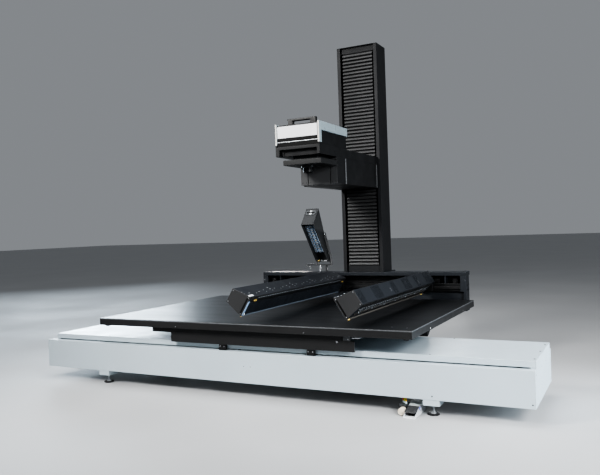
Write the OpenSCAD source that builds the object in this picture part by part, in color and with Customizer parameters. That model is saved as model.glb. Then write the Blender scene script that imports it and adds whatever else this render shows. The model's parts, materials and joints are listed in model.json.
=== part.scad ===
// Large-format table scanner: a long white base, a wide black table that runs
// along it on guide rails, and a slatted column behind that carries the camera
// head on an arm. Two light bars and one rear lamp light the table.
// Millimetres, Z up, floor at Z = 0, X along the base, Y from front to back.

/* [Base] */
// Length of the base housing
base_len = 4000; // [3800:10:4300]
// Depth of the base housing, front to back
base_depth = 760; // [740:5:800]
// Height of the housing's underside above the floor
base_clear = 105; // [95:1:125]
// Height of the front and rear panels
base_h = 227; // [215:1:250]
// Sheet thickness of the housing's panels
sheet_t = 4; // [3:0.5:5]
// Width of the ledge in front of and behind the top cover
ledge_w = 50; // [46:1:56]
// Height of the slot between the ledge and the cover
slot_h = 8; // [7:0.5:10]
// Height of the cover's top above the ledge
cover_rise = 48; // [44:1:56]
// Distance of the cover from the base's left end
cover_inset = 60; // [50:1:80]
// Distance between the posts under the cover
post_pitch = 1000; // [900:10:1100]
// Distance of each guide rail's centre from the outer face of the base
rail_in = 120; // [115:1:130]
// Width of the box beam under each guide rail
rail_beam_w = 70; // [60:1:80]
// Width of the guide rails
rail_w = 20; // [16:1:24]
// Height of the guide rails
rail_h = 22; // [18:1:26]

/* [Feet] */
// Distance of the base feet from the middle, along the base
foot_x = 1370; // [1300:10:1450]
// Distance of the base feet from the outer faces of the base
foot_in = 56; // [54:1:70]
// Width of the square foot brackets
foot_bracket = 106; // [96:1:108]
// Height of the foot brackets
foot_bracket_h = 38; // [30:1:44]
// Diameter of the foot pads
foot_pad_d = 78; // [70:1:90]
// Height of the foot pads
foot_pad_h = 16; // [12:1:20]
// Diameter of the threaded stems
foot_stem_d = 16; // [12:1:20]

/* [Table] */
// Length of the table, along the base
table_len = 2620; // [2400:10:2800]
// Depth of the table, front to back
table_depth = 1750; // [1650:10:1760]
// Thickness of the table
table_t = 55; // [48:1:60]
// How far the table reaches in front of the base
table_out = 50; // [30:1:70]
// Where the table's middle stands along the base
table_x = -33; // [-60:1:0]
// Thickness of the strips around the table board
edge_t = 12; // [8:1:16]
// Space between the cover and the frame under the table
deck_gap = 70; // [64:1:80]
// Height of the frame under the table
subframe_h = 40; // [34:1:50]
// Length of the frame under the table
subframe_len = 1625; // [1500:1:1700]
// Height of the aprons that hang from the frame
apron_h = 73; // [60:1:78]
// Thickness of the aprons
apron_t = 10; // [8:1:12]
// Length of the front apron
front_apron_len = 1528; // [1450:1:1600]
// How far the front apron stands to the right of the table's middle
apron_shift = 129; // [100:1:160]
// Length of the rear apron
rear_apron_len = 2350; // [2200:10:2450]
// Where the left slot bracket stands, from the table's middle
bracket_left = -170; // [-260:1:-120]
// Where the right slot bracket stands, from the table's middle
bracket_right = 560; // [500:1:640]
// Width of the slot brackets
bracket_w = 60; // [50:1:70]
// Length of the bearing blocks
block_len = 110; // [90:1:130]

/* [Drive] */
// Radius of the belt pulleys
pulley_r = 40; // [34:1:46]
// Width of the belt
belt_w = 30; // [25:1:35]
// Thickness of the belt
belt_t = 3; // [2:0.5:4]
// Distance of the pulleys from the ends of the base
pulley_in = 160; // [140:5:220]
// Diameter of the pulley shafts
shaft_d = 20; // [16:1:24]

/* [Column] */
// Where the column's middle stands along the base
col_x = 235; // [225:1:245]
// Width of the column
col_w = 400; // [390:1:420]
// Depth of the column
col_d = 232; // [225:1:250]
// Height of the column above the rear bridge
col_h = 2133; // [2050:1:2200]
// Distance of the column's front from the front of the base
col_front = 1770; // [1765:1:1780]
// Sheet thickness of the column
col_t = 5; // [4:0.5:6]
// Width of the column's front lips
lip_w = 34; // [30:1:36]
// Height of one slat of the curtain
slat_pitch = 33; // [28:1:38]
// Width of the gap beside the curtain
curtain_gap = 16; // [14:0.5:17]
// Height of the plain panel under the curtain
foot_panel_h = 66; // [55:1:80]
// Diameter of the lift screw
screw_d = 25; // [20:1:28]

/* [Bridge] */
// Length of the rear bridge
bridge_len = 2060; // [2000:10:2100]
// Where the bridge's middle stands along the base
bridge_x = 175; // [160:1:190]
// Depth of the bridge's top plate
bridge_d = 140; // [134:1:160]
// Height of the bridge's top above the floor
bridge_z = 785; // [780:1:800]
// Thickness of the bridge's top plate
bridge_top_t = 35; // [30:1:40]
// Height of the beam that carries the light rail
bridge_beam_h = 72; // [66:1:78]
// Depth of that beam
bridge_beam_d = 100; // [90:1:110]
// Height of the windows between beam and top plate
bridge_window_h = 68; // [60:1:72]
// How far the bridge's end plates hang below the beam
bridge_drop = 170; // [150:1:190]
// Width of the flanges on the end plates, in front of the beam
end_flange = 30; // [26:1:36]
// How far the skirt below the beam is set back from the beam's front
skirt_in = 30; // [20:1:40]
// Thickness of that skirt
skirt_t = 6; // [5:1:8]
// Distance of the outer dividers from the bridge's ends
divider_in = 190; // [170:1:210]
// Distance between the dividers
divider_pitch = 370; // [340:1:400]
// Depth of the rear base behind the bridge beam
plinth_d = 220; // [210:1:240]
// Height of the rear base's top above the floor
rear_base_top = 300; // [280:1:320]

/* [Arm and head] */
// Height of the arm's underside above the floor
arm_z = 1571; // [1500:1:1700]
// Width of the arm
arm_w = 385; // [375:1:390]
// Height of the arm's lower box
arm_h = 213; // [200:1:225]
// Length of the arm's lower box
arm_len = 745; // [700:1:770]
// Sheet thickness of the arm
arm_t = 5; // [4:0.5:6]
// Width of the flanges at both ends of the lower arm
flange_len = 22; // [16:1:28]
// How far those flanges stand out from its sides
flange_out = 3; // [2:0.5:4]
// Depth of the box in front of the lower arm
front_box_d = 160; // [140:1:180]
// Width of the box in front of the lower arm
front_box_w = 331; // [310:1:350]
// Height of the upper arm
upper_h = 76; // [70:1:84]
// How far the upper arm reaches in front of the column
upper_reach = 1250; // [1200:1:1290]
// Height of the camera head
head_h = 178; // [160:1:190]
// Depth of the camera head
head_d = 550; // [500:1:600]
// Height of the head's light side rails
head_rail_h = 68; // [60:1:75]
// Thickness of the head's side frames
side_t = 14; // [10:1:18]
// Width of the handle
handle_w = 254; // [220:1:280]
// Height of the handle
handle_h = 58; // [50:1:66]
// Depth of the lens plate
lens_plate_d = 300; // [270:1:310]
// Thickness of the lens plate
lens_plate_t = 40; // [34:1:46]
// Diameter of the lens
lens_d = 84; // [70:1:96]
// Length of the lens below its plate
lens_len = 52; // [40:1:60]

/* [Light bars] */
// Length of the light bars
light_len = 1720; // [1680:10:1730]
// How far the light bars reach in front of the base
light_out = 50; // [40:1:60]
// Width of a light bar's bright face
light_face = 164; // [150:1:175]
// Width of a light bar's back
light_back = 112; // [100:1:125]
// Depth of a light bar
light_depth = 158; // [145:1:165]
// Angle of the bright faces below the horizontal
light_tilt = 32; // [25:1:40]
// Height of the light bars' pivots above the floor
light_z = 710; // [708:1:716]
// Where the left light bar stands along the base
left_light_x = -13; // [-60:1:20]
// Where the right light bar stands along the base
right_light_x = 852; // [800:1:900]
// Diameter of the pivot shafts of the light bars
light_shaft_d = 24; // [20:1:28]
// Sheet thickness of the light bars
light_t = 3; // [2:0.5:4]

/* [Rear lamp] */
// Where the lamp's middle stands along the base
lamp_x = -215; // [-240:1:-200]
// Width of the lamp
lamp_w = 130; // [115:1:145]
// Sheet thickness of the lamp's housing
lamp_t = 4; // [3:0.5:5]
// Height of the lamp's base plate above the bridge
lamp_post_h = 60; // [55:1:64]
// Diameter of the lamp's posts
lamp_post_d = 20; // [16:1:24]
// Distance between the lamp's posts
lamp_post_gap = 76; // [70:1:80]
// Depth of the lamp's base plate
lamp_plate_d = 38; // [34:1:42]
// How far the base plate reaches past the lamp's left side
lamp_plate_over = 118; // [100:1:130]
// Diameter of the lamp's pivot bolts
lamp_bolt_d = 12; // [10:1:14]

/* [Pedal] */
// Where the pedal's middle stands along the base
pedal_x = 1251; // [1200:1:1260]
// Width of the pedal
pedal_w = 78; // [72:1:90]
// Length of the pedal
pedal_len = 237; // [225:1:250]
// How far the pedal reaches in front of the base
pedal_out = 86; // [80:1:95]
// Diameter of the treadle's pin
pedal_pin_d = 8; // [6:1:10]
// How far the treadle's pin stands behind the pedal's front
pedal_pin_in = 110; // [106:1:114]
// Height of the treadle's pin above the floor
pedal_pin_z = 38; // [36:1:39]
// Thickness of the pedal's cheeks
cheek_t = 5; // [4:0.5:6]
// Height of the pedal's cheeks at their peak
cheek_h = 68; // [66:1:74]
// Height of the foot valve
valve_h = 62; // [56:1:66]
// Width of the foot valve
valve_w = 56; // [50:1:60]
// Diameter of the foot valve's cap
valve_cap_d = 47; // [40:1:50]
// Length of the foot valve's cap
valve_cap_len = 50; // [40:1:56]

/* [Fits] */
// Radial running gap of every shaft in its bore
run_gap = 0.05; // [0.03:0.01:0.09]
// Gap between a slide and the rail it runs on
slide_gap = 0.4; // [0.3:0.1:0.8]
// Gap above and below the tongues in the base's slots
slot_gap = 2; // [1.5:0.5:2.5]
// Gap between parts that move past each other
move_gap = 3; // [2:0.5:5]
// Gap between bars and strips that meet end to end
butt_gap = 0.3; // [0.2:0.1:0.6]

/* [Hidden] */
// Smoothness of the round parts
$fn = 48;
// Overlap that makes cuts clean
eps = 1;
// Height of the ledge
ledge_z = base_clear + base_h;
// Height of the cover's top
cover_z = ledge_z + cover_rise;
// Height of the top of the base's floor
floor_z = base_clear + sheet_t;
// Half the base's length inside its end plates
base_in = base_len / 2 - sheet_t;
// Reach of the ledge's flange under the cover
flange_w = ledge_w + 12;
// Left end of the cover
cover_x0 = -base_len / 2 + cover_inset;
// Heights of the tongues, blocks and rails
tongue_z = ledge_z + slot_gap;
tongue_t = slot_h - 2 * slot_gap;
block_z = tongue_z - 36;
rail_z = block_z - 4;
// Heights of the table's layers
sub_z = cover_z + deck_gap;
table_z = sub_z + subframe_h;
table_top = table_z + table_t;
// Front edge of the table
table_y = -table_out;
// Middle of the front apron
front_apron_x = table_x + apron_shift;
// Outer face of the aprons, from the faces of the base
apron_in = 5;
// Pulley positions
pulley_z = floor_z + pulley_r + 70;
pulley_y = rail_in + rail_beam_w / 2 + 45;
belt_in_r = pulley_r + 0.4;
belt_out_r = belt_in_r + belt_t;
// Where the belt is clamped
clamp_x = table_x + bracket_left;
// Rear bridge
bridge_y = col_front - 20;
beam_y = bridge_y + 10;
beam_z1 = bridge_z - bridge_top_t - bridge_window_h;
beam_z0 = beam_z1 - bridge_beam_h;
bridge_x0 = bridge_x - bridge_len / 2;
bridge_x1 = bridge_x + bridge_len / 2;
end_t = 24;
plinth_y = beam_y + bridge_beam_d;
plinth_y1 = plinth_y + plinth_d;
rear_half = 260;
// Light rail and its sliders
light_rail_h = 20;
light_rail_out = 15;
light_rail_z = (beam_z0 + beam_z1) / 2;
slider_y1 = beam_y - move_gap;
slider_y0 = slider_y1 - 45;
slider_w = 120;
light_y0 = -light_out;
light_y1 = light_y0 + light_len;
// Column
col_z = bridge_z;
col_top = col_z + col_h;
curtain_w = col_w - 2 * lip_w - 2 * curtain_gap;
curtain_z0 = col_z + foot_panel_h;
slat_n = floor((col_top - 44 - curtain_z0) / slat_pitch);
curtain_z1 = curtain_z0 + slat_n * slat_pitch;
curtain_y = col_front + 22;
// Lift
arm_plate_t = 8;
arm_y1 = col_front - move_gap - 2;
plate_x = curtain_w / 2 + curtain_gap / 2;
lift_rail_x = 120;
lift_rail_t = 18;
col_back_y = col_front + col_d - col_t;
screw_y = curtain_y + 76;
lift_bottom_z = col_z + 40;
lift_top_z = col_top - 190;
// Arm
arm_x = col_x - 17;
upper_z = arm_z + arm_h;
arm_y0 = arm_y1 - 20 - arm_len;
upper_y0 = col_front - upper_reach;
head_z = upper_z + upper_h;
head_top = head_z + head_h;
head_core_w = arm_w - 2 * side_t;
lens_plate_z = upper_z - 30 - lens_plate_t;
lens_y = upper_y0 + 30 + lens_plate_d / 2;
// Rear lamp: side outline, pivot and base plate
lamp_y = col_front;
lamp_z = bridge_z + lamp_post_h;
lamp_side = [[108, 33], [36, 41], [-263, 407], [-136, 559]];
lamp_pivot = [-35, 307];
lamp_plate_t = 8;
lamp_plate_y0 = 80;
lamp_plate_y1 = lamp_plate_y0 + lamp_plate_d;
lamp_post_x = -56;
// Rear-most point, and the shift that centres the whole machine
inlet_out = 12;
rear_y = plinth_y1 + inlet_out;
shift_y = -(rear_y - pedal_out) / 2;
// Feet: base corners and rear base
foot_list = [
    [-foot_x, foot_in], [foot_x, foot_in],
    [-foot_x, base_depth - foot_in], [foot_x, base_depth - foot_in],
    [col_x - rear_half + 60, plinth_y1 - 60], [col_x + rear_half - 60, plinth_y1 - 60]];
// Pedal
pedal_y0 = -pedal_out;
pedal_y1 = pedal_y0 + pedal_len;
pedal_pin = [pedal_y0 + pedal_pin_in, pedal_pin_z];
pedal_plate_t = 8;
// Flat peak of the pedal's cheeks
cheek_y0 = pedal_y0 + 178;
cheek_y1 = pedal_y0 + 196;

// Box between two corners
module box(a, b) {
    translate(a) cube([b[0] - a[0], b[1] - a[1], b[2] - a[2]]);
}

// Everything is drawn with Y = 0 at the base's front, then centred
module centred() {
    translate([0, shift_y, 0]) children();
}

// Outline in Y and Z, drawn out along X
module along_x(x0, x1) {
    translate([x0, 0, 0]) rotate([90, 0, 90]) linear_extrude(x1 - x0) children();
}

// Outline in X and Z, drawn out along Y
module along_y(y0, y1) {
    translate([0, y1, 0]) rotate([90, 0, 0]) linear_extrude(y1 - y0) children();
}

// Round bar along X
module rod_x(x0, x1, y, z, d) {
    translate([x0, y, z]) rotate([0, 90, 0]) cylinder(d = d, h = x1 - x0);
}

// Round bar along Y
module rod_y(x, y0, y1, z, d) {
    translate([x, y1, z]) rotate([90, 0, 0]) cylinder(d = d, h = y1 - y0);
}

// Front half and its mirror image at the rear of the base
module front_and_rear() {
    children();
    translate([0, base_depth, 0]) mirror([0, 1, 0]) children();
}

module base_side_panels() {
    color([0.86, 0.88, 0.9]) centred() front_and_rear()
        along_x(-base_in, base_in) polygon([
            [0, base_clear], [sheet_t, base_clear], [sheet_t, ledge_z - sheet_t],
            [flange_w, ledge_z - sheet_t], [flange_w, ledge_z], [0, ledge_z]]);
}

module base_end_plates() {
    color([0.84, 0.86, 0.88]) centred() {
        along_x(-base_len / 2, -base_in) polygon([
            [0, base_clear], [base_depth, base_clear],
            [base_depth, ledge_z], [0, ledge_z]]);
        along_x(base_in, base_len / 2) polygon([
            [0, base_clear], [base_depth, base_clear], [base_depth, ledge_z],
            [base_depth - ledge_w, ledge_z], [base_depth - ledge_w, cover_z],
            [ledge_w, cover_z], [ledge_w, ledge_z], [0, ledge_z]]);
    }
}

module base_floor() {
    color([0.78, 0.8, 0.82]) centred() {
        box([-base_in, sheet_t, base_clear], [base_in, base_depth - sheet_t, floor_z]);
        box([-base_in, flange_w, ledge_z - sheet_t],
            [cover_x0 + 40, base_depth - flange_w, ledge_z]);
    }
}

module top_cover() {
    color([0.84, 0.87, 0.9]) centred() {
        box([cover_x0, ledge_w, cover_z - sheet_t],
            [base_in, base_depth - ledge_w, cover_z]);
        front_and_rear() box([cover_x0, ledge_w, ledge_z + slot_h],
            [base_in, ledge_w + sheet_t, cover_z]);
        box([cover_x0, ledge_w, ledge_z],
            [cover_x0 + sheet_t, base_depth - ledge_w, cover_z]);
    }
}

module cover_posts() {
    color([0.6, 0.62, 0.64]) centred() for (i = [-1.5 : 1 : 1.5])
        box([i * post_pitch - 20, base_depth / 2 - 30, floor_z],
            [i * post_pitch + 20, base_depth / 2 + 30, cover_z - sheet_t]);
}

module rail_beams() {
    color([0.5, 0.52, 0.54]) centred() front_and_rear() difference() {
        box([-base_in, rail_in - rail_beam_w / 2, floor_z],
            [base_in, rail_in + rail_beam_w / 2, rail_z]);
        box([-base_in - eps, rail_in - rail_beam_w / 2 + 5, floor_z + 5],
            [base_in + eps, rail_in + rail_beam_w / 2 - 5, rail_z - 5]);
    }
}

module guide_rails() {
    color([0.75, 0.76, 0.78]) centred() front_and_rear()
        box([-base_in + 4, rail_in - rail_w / 2, rail_z],
            [base_in - 4, rail_in + rail_w / 2, rail_z + rail_h]);
}

// Loop of a belt round both pulleys
module belt_loop(r, w) {
    for (s = [-1, 1])
        rod_y(s * (base_len / 2 - pulley_in), pulley_y - w / 2, pulley_y + w / 2,
            pulley_z, 2 * r);
    box([-base_len / 2 + pulley_in, pulley_y - w / 2, pulley_z - r],
        [base_len / 2 - pulley_in, pulley_y + w / 2, pulley_z + r]);
}

module drive_belt() {
    color([0.1, 0.1, 0.1]) centred() difference() {
        belt_loop(belt_out_r, belt_w);
        belt_loop(belt_in_r, belt_w + 2 * eps);
    }
}

// Pulley with its shaft
module pulley(x) {
    rod_y(x, pulley_y - belt_w / 2 - 2, pulley_y + belt_w / 2 + 2, pulley_z, 2 * pulley_r);
    rod_y(x, pulley_y - belt_w / 2 - 20, pulley_y + belt_w / 2 + 36, pulley_z, shaft_d);
}

module drive_pulley() {
    color([0.62, 0.63, 0.65]) centred() pulley(base_len / 2 - pulley_in);
}

module idler_pulley() {
    color([0.62, 0.63, 0.65]) centred() pulley(-base_len / 2 + pulley_in);
}

module pulley_brackets() {
    color([0.55, 0.56, 0.58]) centred() for (s = [-1, 1], k = [-1, 1])
        difference() {
            x = s * (base_len / 2 - pulley_in);
            y = pulley_y + k * (belt_w / 2 + 12);
            box([x - 45, y - 6, floor_z], [x + 45, y + 6, pulley_z + 35]);
            rod_y(x, y - 10, y + 10, pulley_z, shaft_d + 2 * run_gap);
        }
}

module drive_motor() {
    x = base_len / 2 - pulley_in;
    y = pulley_y + belt_w / 2 + 18;
    color([0.16, 0.17, 0.18]) centred() {
        difference() {
            box([x - 42, y, pulley_z - 42], [x + 42, y + 60, pulley_z + 42]);
            rod_y(x, y - eps, y + 30, pulley_z, shaft_d + 1);
        }
        rod_y(x, y + 60, y + 180, pulley_z, 78);
    }
}

module foot_brackets() {
    color([0.85, 0.87, 0.89]) centred() for (p = foot_list)
        difference() {
            h = foot_bracket / 2;
            box([p[0] - h, p[1] - h, base_clear - foot_bracket_h],
                [p[0] + h, p[1] + h, base_clear]);
            translate([p[0], p[1], base_clear - foot_bracket_h - eps])
                cylinder(d = foot_stem_d + 2 * run_gap, h = 24 + eps);
        }
}

module levelling_feet() {
    color([0.08, 0.08, 0.08]) centred() for (p = foot_list) translate([p[0], p[1], 0]) {
        cylinder(d = foot_pad_d, h = foot_pad_h - 6);
        translate([0, 0, foot_pad_h - 6])
            cylinder(d1 = foot_pad_d, d2 = foot_stem_d + 10, h = 6);
        cylinder(d = foot_stem_d, h = base_clear - foot_bracket_h + 24);
        translate([0, 0, base_clear - foot_bracket_h - 10])
            cylinder(d = foot_stem_d + 11, h = 10, $fn = 6);
    }
}

module rear_base() {
    color([0.1, 0.1, 0.11]) centred() difference() {
        box([col_x - rear_half, base_depth, base_clear],
            [col_x + rear_half, plinth_y1, rear_base_top]);
        box([col_x - rear_half + 5, base_depth - eps, base_clear + 5],
            [col_x + rear_half - 5, plinth_y1 - 5, rear_base_top - 5]);
    }
}

module column_plinth() {
    color([0.1, 0.1, 0.11]) centred() difference() {
        box([col_x - col_w / 2, plinth_y, rear_base_top],
            [col_x + col_w / 2, plinth_y1, bridge_z - bridge_top_t]);
        box([col_x - col_w / 2 + 5, plinth_y + 5, rear_base_top - eps],
            [col_x + col_w / 2 - 5, plinth_y1 - 5, bridge_z - bridge_top_t - 5]);
    }
}

module bridge_top() {
    color([0.13, 0.13, 0.14]) centred() {
        z0 = bridge_z - bridge_top_t;
        box([bridge_x0, bridge_y, z0], [bridge_x1, bridge_y + bridge_d, bridge_z]);
        box([col_x - col_w / 2 - 10, bridge_y, z0],
            [col_x + col_w / 2 + 10, plinth_y1, bridge_z]);
    }
}

module bridge_beam() {
    color([0.12, 0.12, 0.13]) centred() difference() {
        box([bridge_x0 + end_t, beam_y, beam_z0],
            [bridge_x1 - end_t, beam_y + bridge_beam_d, beam_z1]);
        box([bridge_x0 + end_t - eps, beam_y + 5, beam_z0 + 5],
            [bridge_x1 - end_t + eps, beam_y + bridge_beam_d - 5, beam_z1 - 5]);
    }
}

module bridge_ends() {
    color([0.14, 0.14, 0.15]) centred() {
        for (s = [0, 1]) translate([bridge_x, 0, 0]) mirror([s, 0, 0]) {
            box([bridge_len / 2 - end_t, bridge_y, beam_z0 - bridge_drop],
                [bridge_len / 2, bridge_y + bridge_d - 30, bridge_z - bridge_top_t]);
            box([bridge_len / 2 - end_t - end_flange, bridge_y, beam_z0],
                [bridge_len / 2, beam_y, bridge_z - bridge_top_t]);
        }
        box([bridge_x0 + end_t + butt_gap, beam_y + skirt_in, beam_z0 - bridge_drop + 20],
            [bridge_x1 - end_t - butt_gap, beam_y + skirt_in + skirt_t, beam_z0]);
        for (i = [0, 1], s = [-1, 1]) {
            x = bridge_x + s * (bridge_len / 2 - divider_in - i * divider_pitch);
            box([x - 6, beam_y, beam_z1],
                [x + 6, beam_y + 80, bridge_z - bridge_top_t]);
        }
    }
}

module light_rail() {
    color([0.7, 0.71, 0.73]) centred()
        box([bridge_x0 + end_t + end_flange, beam_y - light_rail_out,
             light_rail_z - light_rail_h / 2],
            [bridge_x1 - end_t - end_flange, beam_y, light_rail_z + light_rail_h / 2]);
}

module power_inlet() {
    color([0.05, 0.05, 0.05]) centred() difference() {
        box([col_x - 35, plinth_y1, base_clear + 60],
            [col_x + 35, plinth_y1 + inlet_out, base_clear + 110]);
        box([col_x - 22, plinth_y1 + 2, base_clear + 70],
            [col_x + 22, plinth_y1 + inlet_out + eps, base_clear + 100]);
    }
}

module column_sides() {
    color([0.2, 0.2, 0.21]) centred() translate([col_x, 0, 0])
        for (s = [0, 1]) mirror([s, 0, 0]) {
            box([col_w / 2 - col_t, col_front, col_z],
                [col_w / 2, col_back_y, col_top]);
            box([col_w / 2 - lip_w, col_front, col_z],
                [col_w / 2, col_front + col_t, col_top]);
        }
}

module column_back() {
    color([0.16, 0.16, 0.17]) centred()
        box([col_x - col_w / 2, col_back_y, col_z],
            [col_x + col_w / 2, col_front + col_d, col_top]);
}

module column_cap() {
    color([0.42, 0.45, 0.5]) centred() translate([col_x, 0, 0]) {
        box([-col_w / 2, col_front, col_top],
            [col_w / 2, col_front + col_d, col_top + 6]);
        box([-col_w / 2 + lip_w, curtain_y, col_z],
            [col_w / 2 - lip_w, curtain_y + 8, curtain_z0]);
        box([-col_w / 2 + lip_w, curtain_y, curtain_z1],
            [col_w / 2 - lip_w, curtain_y + 8, col_top]);
    }
}

module slat_curtain() {
    color([0.45, 0.45, 0.46]) centred() translate([col_x, 0, 0])
        along_x(-curtain_w / 2, curtain_w / 2) polygon(concat(
            [for (i = [0 : slat_n - 1]) each [
                [curtain_y - 12, curtain_z0 + i * slat_pitch],
                [curtain_y - 2, curtain_z0 + (i + 1) * slat_pitch - 4],
                [curtain_y + 3, curtain_z0 + (i + 1) * slat_pitch]]],
            [[curtain_y + 8, curtain_z1], [curtain_y + 8, curtain_z0]]));
}

module lift_rails() {
    color([0.72, 0.73, 0.75]) centred() for (s = [-1, 1])
        box([col_x + s * lift_rail_x - 10, col_back_y - lift_rail_t, col_z],
            [col_x + s * lift_rail_x + 10, col_back_y, col_top]);
}

module lift_drive() {
    color([0.18, 0.19, 0.2]) centred() {
        for (z = [lift_bottom_z, lift_top_z]) difference() {
            box([col_x - 40, screw_y - 30, z], [col_x + 40, col_back_y, z + 30]);
            translate([col_x, screw_y, z - eps])
                cylinder(d = screw_d - 6 + 2 * run_gap, h = 30 + 2 * eps);
        }
        difference() {
            box([col_x - 42, screw_y - 42, lift_top_z + 40],
                [col_x + 42, col_back_y, lift_top_z + 150]);
            translate([col_x, screw_y, lift_top_z])
                cylinder(d = screw_d - 4, h = 64);
        }
    }
}

module lift_screw() {
    color([0.74, 0.75, 0.77]) centred() translate([col_x, screw_y, 0]) {
        translate([0, 0, lift_bottom_z + 31])
            cylinder(d = screw_d, h = lift_top_z - lift_bottom_z - 32);
        translate([0, 0, lift_bottom_z])
            cylinder(d = screw_d - 6, h = lift_top_z + 58 - lift_bottom_z);
    }
}

module lift_carriage() {
    z0 = arm_z;
    z1 = upper_z + upper_h;
    color([0.3, 0.31, 0.32]) centred() {
        for (s = [-1, 1]) {
            box([col_x + s * plate_x - arm_plate_t / 2, arm_y1, z0],
                [col_x + s * plate_x + arm_plate_t / 2, screw_y - 30, z1]);
            for (z = [z0, z1 - 90]) difference() {
                box([col_x + s * lift_rail_x - 26, screw_y - 30, z],
                    [col_x + s * lift_rail_x + 26, col_back_y - 5, z + 90]);
                box([col_x + s * lift_rail_x - 10 - slide_gap,
                        col_back_y - lift_rail_t - slide_gap, z - eps],
                    [col_x + s * lift_rail_x + 10 + slide_gap,
                        col_back_y, z + 90 + eps]);
            }
        }
        box([col_x - plate_x - arm_plate_t / 2, screw_y - 42, z0],
            [col_x + plate_x + arm_plate_t / 2, screw_y - 30, z1]);
        difference() {
            box([col_x - 30, screw_y - 30, z0 + 110], [col_x + 30, screw_y + 28, z0 + 170]);
            translate([col_x, screw_y, z0])
                cylinder(d = screw_d + 2 * slide_gap, h = 300);
        }
        box([arm_x - arm_w / 2, arm_y1 - 20, z0], [arm_x + arm_w / 2, arm_y1, z1]);
    }
}

module arm_box() {
    h = arm_w / 2;
    color([0.24, 0.25, 0.27]) centred() translate([arm_x, 0, 0]) {
        difference() {
            box([-h, arm_y0, arm_z], [h, arm_y1 - 20, upper_z]);
            box([-h + arm_t, arm_y0 - eps, arm_z + arm_t],
                [h - arm_t, arm_y1 - 20 + eps, upper_z - arm_t]);
        }
        for (s = [0, 1], y = [arm_y0, arm_y1 - 20 - flange_len]) mirror([s, 0, 0])
            box([h, y, arm_z], [h + flange_out, y + flange_len, upper_z - 2]);
    }
}

module arm_front_box() {
    h = front_box_w / 2;
    y0 = arm_y0 - front_box_d;
    color([0.36, 0.37, 0.39]) centred() translate([arm_x + 27, 0, 0]) {
        difference() {
            box([-h, y0 + 6, arm_z], [h, arm_y0 - 6, upper_z]);
            box([-h + 5, y0 + 6 - eps, arm_z + 5], [h - 5, arm_y0 - 6 + eps, upper_z - 5]);
        }
        box([-h - 27, arm_y0 - 6, arm_z], [h, arm_y0, upper_z]);
        box([-h, y0, arm_z], [-h + 62, y0 + 6, upper_z - 4]);
        box([-h + 68, y0, arm_z], [h - 66, y0 + 6, upper_z - 4]);
        box([h - 60, y0, arm_z], [h, y0 + 6, upper_z - 4]);
    }
}

module upper_arm() {
    h = arm_w / 2;
    color([0.25, 0.26, 0.28]) centred() translate([arm_x, 0, 0]) {
        difference() {
            box([-h, upper_y0, upper_z], [h, arm_y1 - 20, head_z]);
            box([-h + 34, upper_y0 - eps, upper_z - eps],
                [h - 26, upper_y0 + 36, head_z - 26]);
            box([-h + arm_t, upper_y0 + 44, upper_z + arm_t],
                [h - arm_t, arm_y1 - 20 + eps, head_z - arm_t]);
        }
    }
}

module head_core() {
    h = head_core_w / 2;
    color([0.2, 0.21, 0.23]) centred() translate([arm_x, 0, 0]) difference() {
        box([-h, upper_y0 + 8, head_z], [h, upper_y0 + head_d, head_top - 8]);
        box([-h + 5, upper_y0 + 13, head_z - eps],
            [h - 5, upper_y0 + head_d - 5, head_top - 13]);
    }
}

module head_side_frames() {
    h = arm_w / 2;
    y0 = upper_y0;
    y1 = upper_y0 + head_d;
    color([0.88, 0.91, 0.93]) centred() translate([arm_x, 0, 0])
        for (s = [0, 1]) mirror([s, 0, 0]) along_x(h - side_t, h) polygon([
            [y0, head_z], [y0 + 46, head_z], [y0 + 46, head_top - head_rail_h],
            [y1, head_top - head_rail_h], [y1, head_top], [y0, head_top]]);
}

module head_front_plate() {
    h = head_core_w / 2;
    color([0.96, 0.96, 0.96]) centred() translate([arm_x, 0, 0]) {
        box([-h + 2, upper_y0 + 2, head_z + 62], [h - 2, upper_y0 + 8, head_top - 16]);
        box([-h + 2, upper_y0 + 4, head_z + 22], [h - 2, upper_y0 + 8, head_z + 62]);
        box([-h + 2, upper_y0 + 2, head_z], [h - 2, upper_y0 + 8, head_z + 16]);
    }
}

module head_handle() {
    y = upper_y0 + 100;
    z = head_top - 8;
    color([0.08, 0.08, 0.09]) centred() translate([arm_x, 0, 0]) {
        for (s = [0, 1]) mirror([s, 0, 0])
            box([handle_w / 2 - 52, y - 16, z], [handle_w / 2, y + 16, z + handle_h]);
        box([-handle_w / 2, y - 16, z + handle_h - 20],
            [handle_w / 2, y + 16, z + handle_h]);
    }
}

module lens_plate() {
    h = front_box_w / 2;
    color([0.38, 0.39, 0.41]) centred() translate([arm_x + 27, 0, 0]) {
        y0 = upper_y0 + 18;
        box([-h, y0, lens_plate_z],
            [h, y0 + lens_plate_d, lens_plate_z + lens_plate_t]);
        box([-h + 60, y0 + 60, lens_plate_z + lens_plate_t],
            [h - 60, y0 + lens_plate_d - 10, upper_z]);
    }
}

module lens_barrel() {
    color([0.06, 0.06, 0.07]) centred() translate([arm_x, lens_y, 0]) difference() {
        union() {
            translate([0, 0, lens_plate_z - lens_len])
                cylinder(d = lens_d, h = lens_len);
            translate([0, 0, lens_plate_z - 14])
                cylinder(d = lens_d + 22, h = 14);
        }
        translate([0, 0, lens_plate_z - lens_len - eps])
            cylinder(d = lens_d - 16, h = 14 + eps);
    }
}

module table_board() {
    color([0.07, 0.08, 0.09]) centred() translate([table_x, 0, 0])
        box([-table_len / 2 + edge_t, table_y + edge_t, table_z],
            [table_len / 2 - edge_t, table_y + table_depth - edge_t, table_top]);
}

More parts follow.
